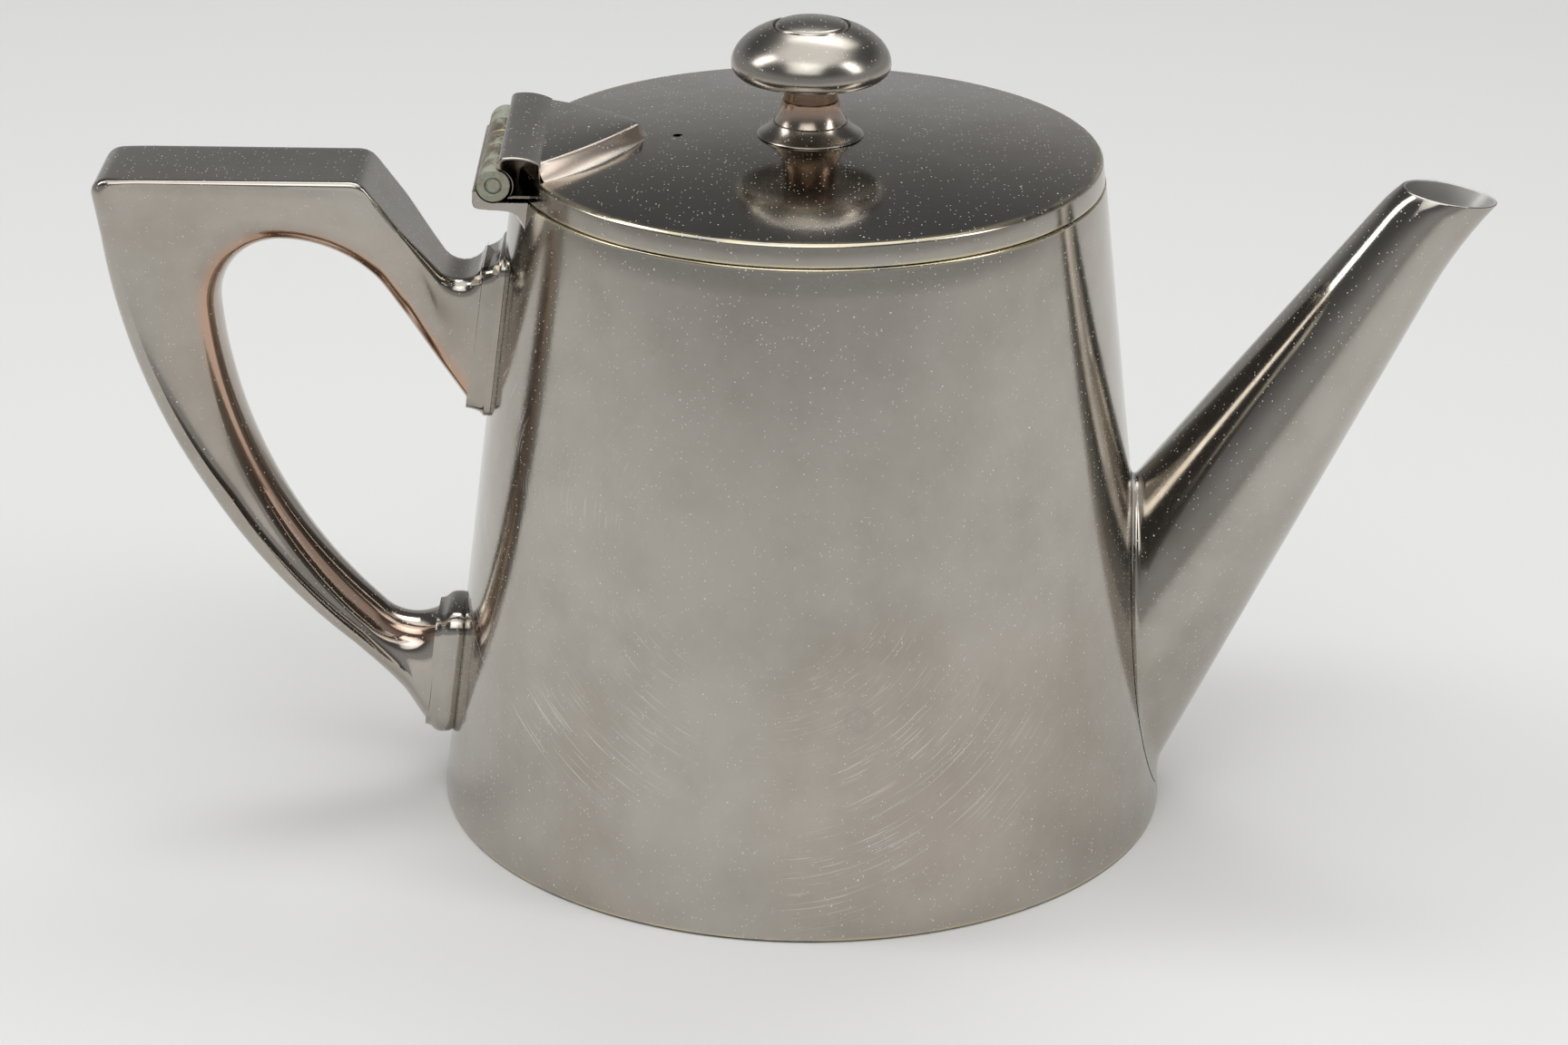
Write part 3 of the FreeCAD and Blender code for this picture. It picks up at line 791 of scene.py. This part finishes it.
def make_knob_dome():
    """Flattened dome with a coved underside and a groove round the button."""
    half, base, button = KNOB_RADIUS, KNOB_UNDERSIDE, KNOB_BUTTON_RADIUS
    sweep = math.acos((button + 0.3) / half)
    dome = [(r, knob_crown(r)) for r in (half * math.cos(i / 26 * sweep) for i in range(27))]
    top = dome[-1][1]
    cove = arc_points((NECK_RADIUS + 0.4, base + 0.55), (half * 0.9, base), -0.25, 8)
    under = [(half * 0.92, base + 0.12), (half * 0.972, base + 0.62), (half * 0.995, base + 1.1)]
    groove = [(button + 0.16, top - 0.08), (button + 0.08, top - 0.28), (button, top - BUTTON_SEAT)]
    profile = [(0, base + 0.55)] + cove + under + dome + groove + [(0, top - BUTTON_SEAT)]
    head = mark(turned_mesh("knob_dome", profile, plate_plain, 160), "satin", lambda v: 0.5)
    show("knob_dome", head, "lid", "plated_silver", plate_plain, "knob_head")


def make_knob_button():
    """Cap that carries the dome on, with a soft edge down into the groove."""
    radius = KNOB_BUTTON_RADIUS - 0.1
    seat = knob_crown(radius)
    top = [(r, knob_crown(r) + BUTTON_RISE)
           for r in ((radius - 0.55) * math.cos(i / 20 * math.pi / 2) for i in range(20))]
    edge = [(radius - 0.12, seat - 0.5), (radius, seat - 0.4), (radius - 0.06, seat - 0.22),
            (radius - 0.2, seat - 0.02), (radius - 0.36, seat + 0.1)]
    profile = [(0, seat - 0.5)] + edge + top + [(0, KNOB_TOP)]
    button = mark(turned_mesh("knob_button", profile, plate_plain, 128), "satin", lambda v: 0.5)
    show("knob_button", button, "lid", "plated_silver", plate_plain, "knob_cap")


# Spout

def spout_point(turn, along, grow):
    """Point of the spout's surface at an angle round it and a distance along it, in millimetres.

    Towards the mouth the front is thrown out to a lip and the back rolls over.
    """
    ahead = Vector((SPOUT_AXIS.z, 0, -SPOUT_AXIS.x))
    front = (1 + math.cos(turn)) / 2
    lean = max(0.0, along - (SPOUT_LENGTH - LIP_LENGTH)) / LIP_LENGTH
    roll = BACK_ROLL * (max(0.0, along - BACK_ROLL_START) / BACK_ROLL_LENGTH) ** 2 * (1 - front) ** 4
    radius = SPOUT_ROOT_RADIUS - SPOUT_TAPER * along + grow - roll
    centre = SPOUT_ROOT + SPOUT_AXIS * along + ahead * LIP_THROW * front * lean ** 2
    return centre + ahead * radius * math.cos(turn) + Vector((0, 1, 0)) * radius * math.sin(turn)


def crossing(outside, near, far):
    """Distance along the spout, between two, where a rule changes sign."""
    for _ in range(48):
        middle = (near + far) / 2
        if outside(middle):
            far = middle
        else:
            near = middle
    return (near + far) / 2


def root_distance(turn, grow):
    """Where a line of the spout comes out of the body."""
    def clear(along):
        p = spout_point(turn, along, grow)
        return math.hypot(p.x, p.y) > wall_radius(p.z) + 0.05
    return crossing(clear, -30.0, 40.0)


def mouth_distance(turn, grow):
    """Where a line of the spout meets the sloping plane of the mouth."""
    middle = SPOUT_ROOT.x + (MOUTH_HEIGHT - SPOUT_ROOT_HEIGHT) / math.tan(SPOUT_ANGLE)

    def above(along):
        p = spout_point(turn, along, grow)
        return p.z > MOUTH_HEIGHT - (p.x - middle) * math.tan(MOUTH_SLOPE)
    return crossing(above, 40.0, SPOUT_LENGTH + 12.0)


def spout_line(turn):
    """Points from the solder fillet up the outside, over the edge of the mouth and down the inside."""
    fillet_steps, runs, edge_steps = 6, 40, 6
    line = []
    for k in range(fillet_steps + 1):
        bow = k / fillet_steps * math.pi / 2
        out, ahead = SOLDER_FILLET * (1 - math.sin(bow)), SOLDER_FILLET * (1 - math.cos(bow))
        line.append(spout_point(turn, root_distance(turn, out) + ahead, out))
    start, end = root_distance(turn, 0) + SOLDER_FILLET, mouth_distance(turn, 0)
    for k in range(1, runs + 1):
        line.append(spout_point(turn, start + (end - start) * k / runs, 0))
    for k in range(1, edge_steps):
        bow = k / edge_steps * math.pi
        inset = MOUTH_WALL / 2 * (1 - math.cos(bow))
        line.append(spout_point(turn, mouth_distance(turn, -inset) + MOUTH_WALL / 2 * math.sin(bow), -inset))
    start, end = mouth_distance(turn, -MOUTH_WALL), root_distance(turn, -SPOUT_WALL)
    for k in range(runs + 1):
        wall = MOUTH_WALL + (SPOUT_WALL - MOUTH_WALL) * k / runs
        line.append(spout_point(turn, start + (end - start) * k / runs, -wall))
    return line


def make_spout():
    """Tapered tube, lined inside."""
    round_steps = 96
    lines = [spout_line(2 * math.pi * i / round_steps) for i in range(round_steps)]
    mesh = tidy(mesh_of("spout_tube", *loft(list(zip(*lines)), loop=True)))

    def inside(vertex):
        away = vertex.co / MM - SPOUT_ROOT
        return vertex.normal.dot(away - SPOUT_AXIS * away.dot(SPOUT_AXIS)) < 0

    mark(mesh, "lining", inside)
    show("spout_tube", mesh, "pot", "plated_silver", plate_plain, "spout_shell")


def loft(rings, loop=False, closed=True):
    """Points and faces through rings of equal count; loop joins the last ring to the first."""
    count = len(rings[0])
    points = [p for ring in rings for p in ring]
    faces = []
    for a in range(len(rings) if loop else len(rings) - 1):
        b = (a + 1) % len(rings)
        for i in range(count if closed else count - 1):
            j = (i + 1) % count
            faces.append((a * count + i, a * count + j, b * count + j, b * count + i))
    return points, faces


def capped(rings):
    """Loft that is closed at both ends."""
    points, faces = loft(rings)
    count = len(rings[0])
    return points, faces + [tuple(range(count)), tuple(len(points) - count + i for i in range(count))]


# Handle

def even(points, count):
    """Points at equal steps along a row of points."""
    points = [Vector(p) for p in points]
    reach = [0.0]
    for a, b in zip(points, points[1:]):
        reach.append(reach[-1] + (b - a).length)
    out = []
    k = 0
    for i in range(count):
        want = reach[-1] * i / (count - 1)
        while k < len(points) - 2 and reach[k + 1] < want:
            k += 1
        span = reach[k + 1] - reach[k]
        t = (want - reach[k]) / span if span > 1e-9 else 0.0
        out.append(points[k].lerp(points[k + 1], min(1.0, max(0.0, t))))
    return out


def bend(start, first_way, last_way, end, steps):
    """Smooth curve that leaves and arrives in two given ways."""
    a, d = Vector(start), Vector(end)
    b, c = a + Vector(first_way), d - Vector(last_way)
    return [a * (1 - t) ** 3 + b * 3 * t * (1 - t) ** 2 + c * 3 * t * t * (1 - t) + d * t ** 3
            for t in (k / steps for k in range(steps + 1))]


def handle_stretches():
    """Matched outer and inner stretches of the handle's side view, from upper to lower socket."""
    left, top = low("handle_near_half").x + 0.4, high("handle_near_half").z
    upper = (high("handle_near_half").x, 77.4)
    knee = Vector((upper[0] - 15.9, top))
    neck = Vector((knee.x + 10.1, top - 13.4))
    knee_low = knee + (neck - knee).normalized() * KNEE_ROUND
    knee_left = knee - Vector((KNEE_ROUND, 0))
    corner_top, corner_side = (left + CORNER_CUT, top), (left, top - CORNER_CUT)
    outer_top = (left + 0.9, top - 8.0)
    foot = (-52.3, low("handle_near_half").z)
    heel_out = (foot[0] - 9.7, foot[1] + 12.8)
    gap_corner = (-45.7, 56.8)
    arch_right = (gap_corner[0] - 10.6, gap_corner[1] + 15.7)
    arch_left = (left + 15.8, top - 19.2)
    arch_top = (left + 24.8, top - 9.6)
    heel = (-50.4, 25.0)
    heel_in = (heel[0] - 7.8, heel[1] + 1.3)
    right_arch = arc_points(arch_right, arch_top, 1.95, 24)
    left_arch = arc_points(arch_top, arch_left, 2.7, 24)
    gap_edge = even([gap_corner, arch_right], 25)
    outer = [
        (arc_points(upper, neck, -1.8, 10), 9),
        ([neck] + arc_points(knee_low, knee_left, 0.3, 6), 20),
        ([knee_left, corner_top], 22),
        (arc_points(corner_top, corner_side, 0.7, 8), 9),
        ([corner_side, outer_top], 8),
        (arc_points(outer_top, heel_out, 6.7, 40), 40),
        (bend(heel_out, (6.5, -6.2), (3.0, -4.6), foot, 16), 14),
    ]
    inner = [
        gap_edge[:9],
        gap_edge[8:] + right_arch[:4],
        right_arch[3:] + left_arch[:10],
        left_arch[9:15],
        left_arch[14:],
        arc_points(arch_left, heel_in, 4.6, 40),
        arc_points(heel_in, heel, 1.5, 12),
    ]
    return outer, inner


def half_section(depth, row):
    """Half outline of the handle's section: (depth from the outer face, half width).

    Behind its rounded outer edge the side is dished, then swells and rolls in to a crease, and
    the inner face is a shallow round. Near the upper socket the side is waisted down to a line.
    """
    crease = depth - CREASE_DEPTH
    edge = min(row["edge"], crease * 0.45)

    def half(deep):
        t = max(0.0, (deep - edge) / (crease - edge))
        waist = row["waist"] * max(0.0, 1 - deep / row["line"]) ** 1.4
        dish = row["dish"] * DISH_SCALE * t * (1 - t) ** 2
        return row["width"] - waist - dish - row["roll"] * t ** 2.6

    start = half(edge) - edge
    points = [(0.0, 0.0), (0.0, start * 0.5), (0.0, start * 0.9)]
    for k in range(8):
        turn = k / 7 * math.pi / 2
        points.append((edge * (1 - math.cos(turn)), start + edge * math.sin(turn)))
    for k in range(1, 19):
        deep = edge + (crease - edge) * k / 18
        points.append((deep, half(deep)))
    for k in range(1, 9):
        turn = k / 8 * math.pi / 2
        points.append((crease + CREASE_DEPTH * math.sin(turn) ** 0.9, (half(crease) - 0.12) * math.cos(turn)))
    return points


def handle_rows():
    """Stations along the handle, each with its outer and inner point and the form of its section."""
    outer, inner = handle_stretches()
    top = high("handle_near_half").z
    end = outer[3][0][-1]
    rows = []
    for part, ((stretch, count), facing) in enumerate(zip(outer, inner)):
        outs, ins = even(stretch, count), even(facing, count)
        for k in range(1 if rows else 0, count):
            out, share = outs[k], k / (count - 1)
            width = (HANDLE_FOOT_WIDTH + (HANDLE_TOP_WIDTH - HANDLE_FOOT_WIDTH) * out.y / top) / 2
            row = {"out": out, "inn": ins[k], "width": width, "edge": RIDGE_ROUND, "dish": SIDE_DISH,
                   "roll": CREASE_INSET, "waist": 0.0, "line": 1.0}
            if part < 2:
                near = 1 - share / 2 if part == 0 else max(0.0, 0.5 - share)
                row["width"] = width + (UPPER_PAD - width) * near ** 2
                row["edge"] = RIDGE_ROUND + NECK_ROUND * near
                row["dish"] = SIDE_DISH * (1 - near)
                row["roll"] = CREASE_INSET * (1 - 0.75 * near)
                row["waist"] = NECK_WAIST * math.sin(math.pi * near)
                row["line"] = 1.0 + (ins[k] - out).length * near
            elif part < 4:
                close = max(0.0, 1 - (out - end).length / 7.0)
                row["edge"] = RIDGE_ROUND + (CORNER_ROUND - RIDGE_ROUND) * close ** 2
            else:
                down = min(1.0, (top - out.y) / 45.0)
                row["edge"] = CORNER_ROUND + (ARM_ROUND - CORNER_ROUND) * down
            if part == 6:
                row["width"] = width + (LOWER_PAD - width) * share ** 2
                row["dish"] = SIDE_DISH * (1 - share)
                row["roll"] = CREASE_INSET * (1 - 0.6 * share)
            rows.append(row)
    return rows


def make_handle():
    """Two halves that meet on the middle plane."""
    rows = handle_rows()
    for side, node in ((-1, "handle_near_half"), (1, "handle_far_half")):
        rings = []
        for row in rows:
            reach = row["inn"] - row["out"]
            ring = []
            for depth, half in half_section(reach.length, row):
                spot = row["out"] + reach.normalized() * depth
                ring.append((spot.x, side * max(half, 0.01), spot.y))
            rings.append(ring)
        mesh = tidy(mesh_of(node + "_plate", *capped(rings)), 38)
        mark(mesh, "wear", lambda v: handle_wear(v.co / MM, rows))
        show(node + "_plate", mesh, "pot", "plated_silver", plate_plain, node)


def handle_wear(point, rows):
    """Copper shows along the crease of the finger gap."""
    spot = Vector((point.x, point.z))
    gap = min((spot - row["inn"]).length for row in rows)
    line = 0.8 * max(0.0, 1 - abs(gap - CREASE_DEPTH * 0.7) / 1.3) * (abs(point.y) > 2.0)
    return line + 0.12 * max(0.0, 1 - gap / 9.0)


# Sockets and hinge

def make_knuckles():
    """Tubes of the hinge: three on the body and two on the lid, in turn along the pin."""
    length = high("body_knuckle_near").y - low("body_knuckle_near").y
    step = length + HINGE_GAP
    bore = PIN_RADIUS + PIN_CLEARANCE
    tube = turned_mesh("tube", rounded([
        (bore, -length / 2), (BARREL_RADIUS, -length / 2), (BARREL_RADIUS, length / 2), (bore, length / 2)],
        KNUCKLE_ROUND), metal_hinge, 64)
    tube.transform(Matrix.Rotation(math.pi / 2, 4, "X"))
    start = -HALF_HINGE + length / 2
    for name, body, first, count, replaced in (
            ("body_knuckles", "pot", 0, 3, ("body_knuckle_near", "body_knuckle_middle", "body_knuckle_far")),
            ("lid_knuckles", "lid", 1, 2, ("lid_knuckle_near", "lid_knuckle_far"))):
        row = grown(name, tube.copy(), KNUCKLES, {
            "Count": count, "First": Vector((HINGE_X, start + first * step, HINGE_Z)) * MM,
            "Step": Vector((0, 2 * step, 0)) * MM, "Finish": metal_hinge})
        show(name, tidy(row), body, "hinge_brass", metal_hinge, *replaced)


def make_pin():
    """Pin through all the tubes, with chamfered ends."""
    end, thin = HALF_HINGE, PIN_RADIUS - PIN_CHAMFER
    pin = turned_mesh("hinge_rod", [
        (0, -end), (thin, -end), (PIN_RADIUS, PIN_CHAMFER - end), (PIN_RADIUS, end - PIN_CHAMFER),
        (thin, end), (0, end)], metal_hinge, 48)
    pin.transform(HINGE_PLACE)
    show("hinge_rod", pin, "pot", "hinge_brass", metal_hinge, "hinge_pin")


def make_trough():
    """Plate on the body's edge that cradles the tubes, with a lip behind and a swept underside."""
    cradle = BARREL_RADIUS + TROUGH_GAP
    first, last = math.radians(199.0), math.radians(283.0)
    inside = [(HINGE_X + cradle * math.cos(a), HINGE_Z + cradle * math.sin(a))
              for a in (first + (last - first) * k / 12 for k in range(13))]
    back, top = inside[0][0] - TROUGH_LIP, inside[-1][1]
    floor = HINGE_Z - cradle - TROUGH_FLOOR
    foot = floor - 2.6
    under = bend((back, floor + 1.0), (0.0, -1.0), (1.2, 0.0), (HINGE_X - 0.6, floor), 8)
    sweep = bend(under[-1], (1.6, 0.0), (0.3, -2.0), (-wall_radius(foot), foot), 10)
    full = HALF_HINGE - TROUGH_END
    stations = [(full * (k / 5 * 2 - 1), 0.0) for k in range(6)]
    loops = []
    for y, inset in [(-HALF_HINGE, TROUGH_END)] + stations + [(HALF_HINGE, TROUGH_END)]:
        wall_top, wall_foot = -wall_reach(top, y) - SEAM, -wall_reach(foot, y) - SEAM
        loop = [(x, y, z) for x, z in inside] + [(wall_top, y, top), (wall_foot, y, foot)]
        for spot in reversed(sweep[:-1]):
            share = max(0.0, (spot.x - sweep[0].x) / (sweep[-1].x - sweep[0].x))
            loop.append((spot.x + (wall_foot - sweep[-1].x) * share, y, spot.y))
        loop.extend((spot.x + inset * 0.5, y, spot.y + inset * 0.5) for spot in reversed(under[:-1]))
        loop.append((back, y, inside[0][1] - 0.1))
        loop.append((back + TROUGH_LIP / 2, y, inside[0][1] + 0.12 - inset * 0.5))
        loops.append(loop)
    mesh = tidy(mesh_of("hinge_trough", *capped(loops)), 40)
    show("hinge_trough", mesh, "pot", "plated_silver", plate_plain, "hinge_bearer")


def hood_block():
    """Rear of the hinge hood: a bar along Y with hollow ends, over the tubes."""
    rear = low("hinge_cover").x - 0.35
    groove = BARREL_RADIUS + HOOD_GROOVE_GAP
    start = math.acos((rear - HINGE_X) / groove)
    side = [Vector((HINGE_X, HINGE_Z)) + groove * Vector((math.cos(a), math.sin(a)))
            for a in (start - (start + 0.75) * k / 12 for k in range(13))]
    crown = arc_points((HOOD_SHOULDER, HOOD_SHOULDER_HEIGHT), (rear, HOOD_REAR_HEIGHT), HOOD_CROWN, 16)
    crown = [p for p in crown if p.x > rear + HOOD_REAR_ROUND]
    corner = bend(crown[-1], (-0.7 * HOOD_REAR_ROUND, 0.0), (0.0, -0.6 * HOOD_REAR_ROUND),
                  (rear, HOOD_REAR_HEIGHT - 0.8 * HOOD_REAR_ROUND), 8)
    section = [Vector((HOOD_SHOULDER, side[-1].y))] + crown + corner[1:] + side
    end = HALF_HINGE
    stations = [(end - HOOD_RECESS, 0.80), (end - 0.1, 0.86), (end, 0.89), (end, 0.96), (end - 0.1, 1.0),
                (end - 0.5, 1.0)]
    loops = []
    for y, size in [(-y, size) for y, size in stations] + stations[::-1]:
        spots = [HOOD_MIDDLE + (p - HOOD_MIDDLE) * size for p in section]
        loops.append([(p.x, y, p.y) for p in spots])
    return capped(loops)


def hood_outline():
    """Top of the hood's front seen from above: bowed sides from the shoulders to a round nose."""
    nose = Vector((HOOD_TIP - HOOD_NOSE_RADIUS, 0.0))
    shoulder = Vector((HOOD_SHOULDER - 0.3, HALF_HINGE - 0.1))
    span = (shoulder - nose).length
    first = math.atan2(shoulder.y, shoulder.x - nose.x) - math.acos(HOOD_NOSE_RADIUS / span)
    round_nose = [nose + Vector((math.cos(a), math.sin(a))) * HOOD_NOSE_RADIUS
                  for a in (first * (1 - k / 8) for k in range(9))]
    half = even(arc_points(shoulder, round_nose[0], -HOOD_BOW, 20), 22)[:-1] + round_nose
    return half + [Vector((p.x, -p.y)) for p in reversed(half[:-1])]


def hood_wedge():
    """Front of the hinge hood: a flat pointed top with coved sides that run out on the lid."""
    outline = hood_outline()
    count = len(outline)
    steps = 12
    rings = []
    for k in range(-2, steps + 2):
        ring = []
        for i, p in enumerate(outline):
            along = outline[min(i + 1, count - 1)] - outline[max(i - 1, 0)]
            outward = Vector((-along.y, along.x)).normalized()
            share = max(0.0, (p.x - HOOD_SHOULDER) / (HOOD_TIP - HOOD_SHOULDER))
            t = min(1.0, max(0.0, k / steps))
            swell = math.sin(math.pi * min(1.0, share)) * (HOOD_MIDDLE_COVE - HOOD_SHOULDER_COVE)
            q = p + outward * (HOOD_SHOULDER_COVE + (HOOD_TIP_COVE - HOOD_SHOULDER_COVE) * share + swell) * t
            foot = lid_dome(min(math.hypot(q.x, q.y), LID_RADIUS - 0.8))
            head = HOOD_SHOULDER_HEIGHT + (HOOD_TIP_HEIGHT - HOOD_SHOULDER_HEIGHT) * share
            if k < 0:
                q = p - outward * (0.5 if k == -2 else 0.18)
                z = head if k == -2 else head - 0.03
            elif k > steps:
                z = foot - 0.5
            else:
                z = foot + (head - 0.15 - foot) * (1 - t) ** 2.2
            ring.append((q.x, q.y, z))
        rings.append(ring)
    points, faces = loft(rings, closed=False)
    for base in (0, len(points) - count):
        for i in range(count // 2):
            j = count - 1 - i
            corners = [i, i + 1, j - 1, j] if j - 1 > i + 1 else [i, i + 1, j]
            faces.append(tuple(base + c for c in corners))
    starts = range(0, len(points), count)
    faces.append(tuple(list(starts) + [a + count - 1 for a in reversed(starts)]))
    return points, faces


def make_hood():
    """Pointed cover over the hinge: worn coves in front and painted shade in the hollow ends behind."""
    points, faces = hood_block()
    more_points, more_faces = hood_wedge()
    shift = len(points)
    faces = faces + [tuple(i + shift for i in face) for face in more_faces]
    mesh = tidy(mesh_of("hinge_hood", points + more_points, faces), 30)
    front = HOOD_SHOULDER * MM
    mark(mesh, "wear", lambda v: 0.2 * (v.normal.z < 0.9) * (v.co.x > front))
    mark(mesh, "satin", lambda v: 0.3 + 0.7 * (v.normal.z < 0.97) * (v.co.x > front))
    # painted shade on the inward faces of the hollow ends
    mark(mesh, "shade", lambda v: v.co.x < front and
         v.normal.x * (v.co.x / MM - HOOD_MIDDLE.x) + v.normal.z * (v.co.z / MM - HOOD_MIDDLE.y) < 0)
    show("hinge_hood", mesh, "lid", "plated_silver", plate_plain, "hinge_cover")


def socket_mesh(node, depth, corner, steps, top_cove):
    """Flange on the body that steps and coves up to the end of the handle.

    Each step gives how far it stands out and how far it is set in from the flange's edge.
    """
    half = (high(node).y - low(node).y) / 2 - 0.3
    loops = []
    for out, inset in steps:
        loop = []
        wide, bottom, top = half - inset, low(node).z + inset, high(node).z - inset * top_cove
        soft = max(0.4, corner - inset * 0.3)
        for side, level, turn in ((1, top - soft, 0.0), (-1, top - soft, 0.5),
                                  (-1, bottom + soft, 1.0), (1, bottom + soft, 1.5)):
            for k in range(7):
                angle = math.pi * (turn + k / 12)
                y = side * (wide - soft) + soft * math.cos(angle)
                z = level + soft * math.sin(angle)
                wall, face = wall_reach(z, y), wall_radius(z) + depth
                loop.append((-(wall + SEAM + (face - wall) * out / depth), y, z))
        loops.append(loop)
    return tidy(mesh_of(node, *capped(loops)), 50)


def make_sockets():
    """Upper and lower flanges between the handle and the body."""
    upper = [(0.0, 0.0), (0.5, 0.0), (0.62, 0.05), (0.72, 0.18), (0.86, 0.34), (1.1, 0.5), (1.4, 0.62),
             (1.75, 0.72), (2.2, 0.82), (2.7, 0.88)]
    lower = [(0.0, 0.25), (0.35, 0.08), (0.8, 0.0), (1.6, 0.0), (2.1, 0.1), (2.5, 0.35), (2.8, 0.6),
             (3.2, 0.75), (3.6, 0.8)]
    for name, node, depth, corner, steps, top_cove in (
            ("upper_socket_flange", "upper_handle_socket", 2.4, 2.2, upper, 2.1),
            ("lower_socket_flange", "lower_handle_socket", 3.3, 2.8, lower, 1.0)):
        flange = socket_mesh(node, depth, corner, steps, top_cove)
        show(name, flange, "pot", "plated_silver", plate_plain, node)


def make_fixing():
    """Stud, washer and nut under the lid: the frame's pieces with their edges rounded over."""
    for node in ("knob_stud", "knob_washer", "knob_nut"):
        mesh = nodes[node].data.copy()
        work = bmesh.new()
        work.from_mesh(mesh)
        bmesh.ops.remove_doubles(work, verts=work.verts, dist=2e-6)
        bmesh.ops.dissolve_limit(work, angle_limit=math.radians(0.8), verts=work.verts, edges=work.edges)
        work.to_mesh(mesh)
        work.free()
        name = node + "_turned"
        host = placed(name, mesh)
        modifier = host.modifiers.new("edge_round", "BEVEL")
        modifier.width = FIXING_ROUND * MM
        modifier.segments = 3
        modifier.limit_method = "ANGLE"
        modifier.angle_limit = math.radians(25)
        made = settled(host)
        made.shade_smooth()
        made.set_sharp_from_angle(angle=math.radians(34))
        show(name, made, "lid", "knob_fixing", plate_inner, node)


# Room, light and camera

def make_floor():
    """Plain pale floor, a hair below the base."""
    half = FLOOR_HALF * MM
    mesh = bpy.data.meshes.new("floor")
    mesh.from_pydata([(-half, -half, 0), (half, -half, 0), (half, half, 0), (-half, half, 0)], [], [range(4)])
    floor = placed("floor", mesh)
    material, tree, _ = finish_start("pale_floor")
    finish_end(tree, {"Base Color": FLOOR_COLOUR, "Roughness": 0.75})
    mesh.materials.append(material)
    floor.location.z = -FLOOR_DROP * MM


def make_light():
    """Pale room glow and four large soft boxes, with places and sizes in metres."""
    world = bpy.data.worlds.new("soft_room")
    bpy.context.scene.world = world
    world.use_nodes = True
    tree = world.node_tree
    tree.nodes.clear()
    way = add_node(tree, "ShaderNodeTexCoord", None, None, "Generated")
    parts = way.node("ShaderNodeSeparateXYZ", None, {0: way})
    rise = parts.twin("Z").over(0.1, 0.52)
    overhead = parts.twin("Z").over(0.74, 0.94)
    glow = overhead.blend(rise.blend(HORIZON_GLOW, UPPER_GLOW), OVERHEAD_GLOW)
    sky = glow.node("ShaderNodeBackground", None, {"Color": glow, "Strength": ROOM_STRENGTH})
    add_node(tree, "ShaderNodeOutputWorld", None, {"Surface": sky})
    for name, place, size, power in (
            ("front_box", (-0.2, -0.95, 1.25), (1.2, 1.0), 1.15),
            ("right_box", (1.1, -0.35, 0.9), (0.35, 0.9), 0.65),
            ("left_box", (-1.1, 0.1, 1.0), (0.35, 0.9), 0.65),
            ("back_box", (0.2, 0.9, 1.4), (1.2, 0.5), 0.95)):
        lamp = bpy.data.lights.new(name, "AREA")
        lamp.shape = "RECTANGLE"
        lamp.size, lamp.size_y = size
        lamp.energy = power
        lamp.spread = BOX_SPREAD
        holder = placed(name, lamp)
        holder.location = place
        holder.rotation_euler = (Vector((0, 0, 0.05)) - Vector(place)).to_track_quat("-Z", "Y").to_euler()


def make_camera():
    """Camera that looks down on the front of the pot, with a slight roll."""
    data = bpy.data.cameras.new("photo_camera")
    data.lens = LENS_MM
    data.sensor_width = SENSOR_MM
    data.clip_start = 0.01
    camera = placed("photo_camera", data)
    ahead = Vector((0, math.cos(CAMERA_PITCH), -math.sin(CAMERA_PITCH)))
    level = Vector((1, 0, 0))
    upright = Vector((0, math.sin(CAMERA_PITCH), math.cos(CAMERA_PITCH)))
    right = math.cos(CAMERA_ROLL) * level + math.sin(CAMERA_ROLL) * upright
    up = -math.sin(CAMERA_ROLL) * level + math.cos(CAMERA_ROLL) * upright
    turn = Matrix((right, up, -ahead)).transposed().to_4x4()
    camera.matrix_world = Matrix.Translation(CAMERA_PLACE) @ turn
    bpy.context.scene.camera = camera
    bpy.context.scene.view_settings.view_transform = "Standard"


make_body()
make_lid()
make_knob_stem()
make_knob_dome()
make_knob_button()
make_spout()
make_handle()
make_sockets()
make_knuckles()
make_pin()
make_trough()
make_hood()
make_fixing()
make_floor()
make_light()
make_camera()
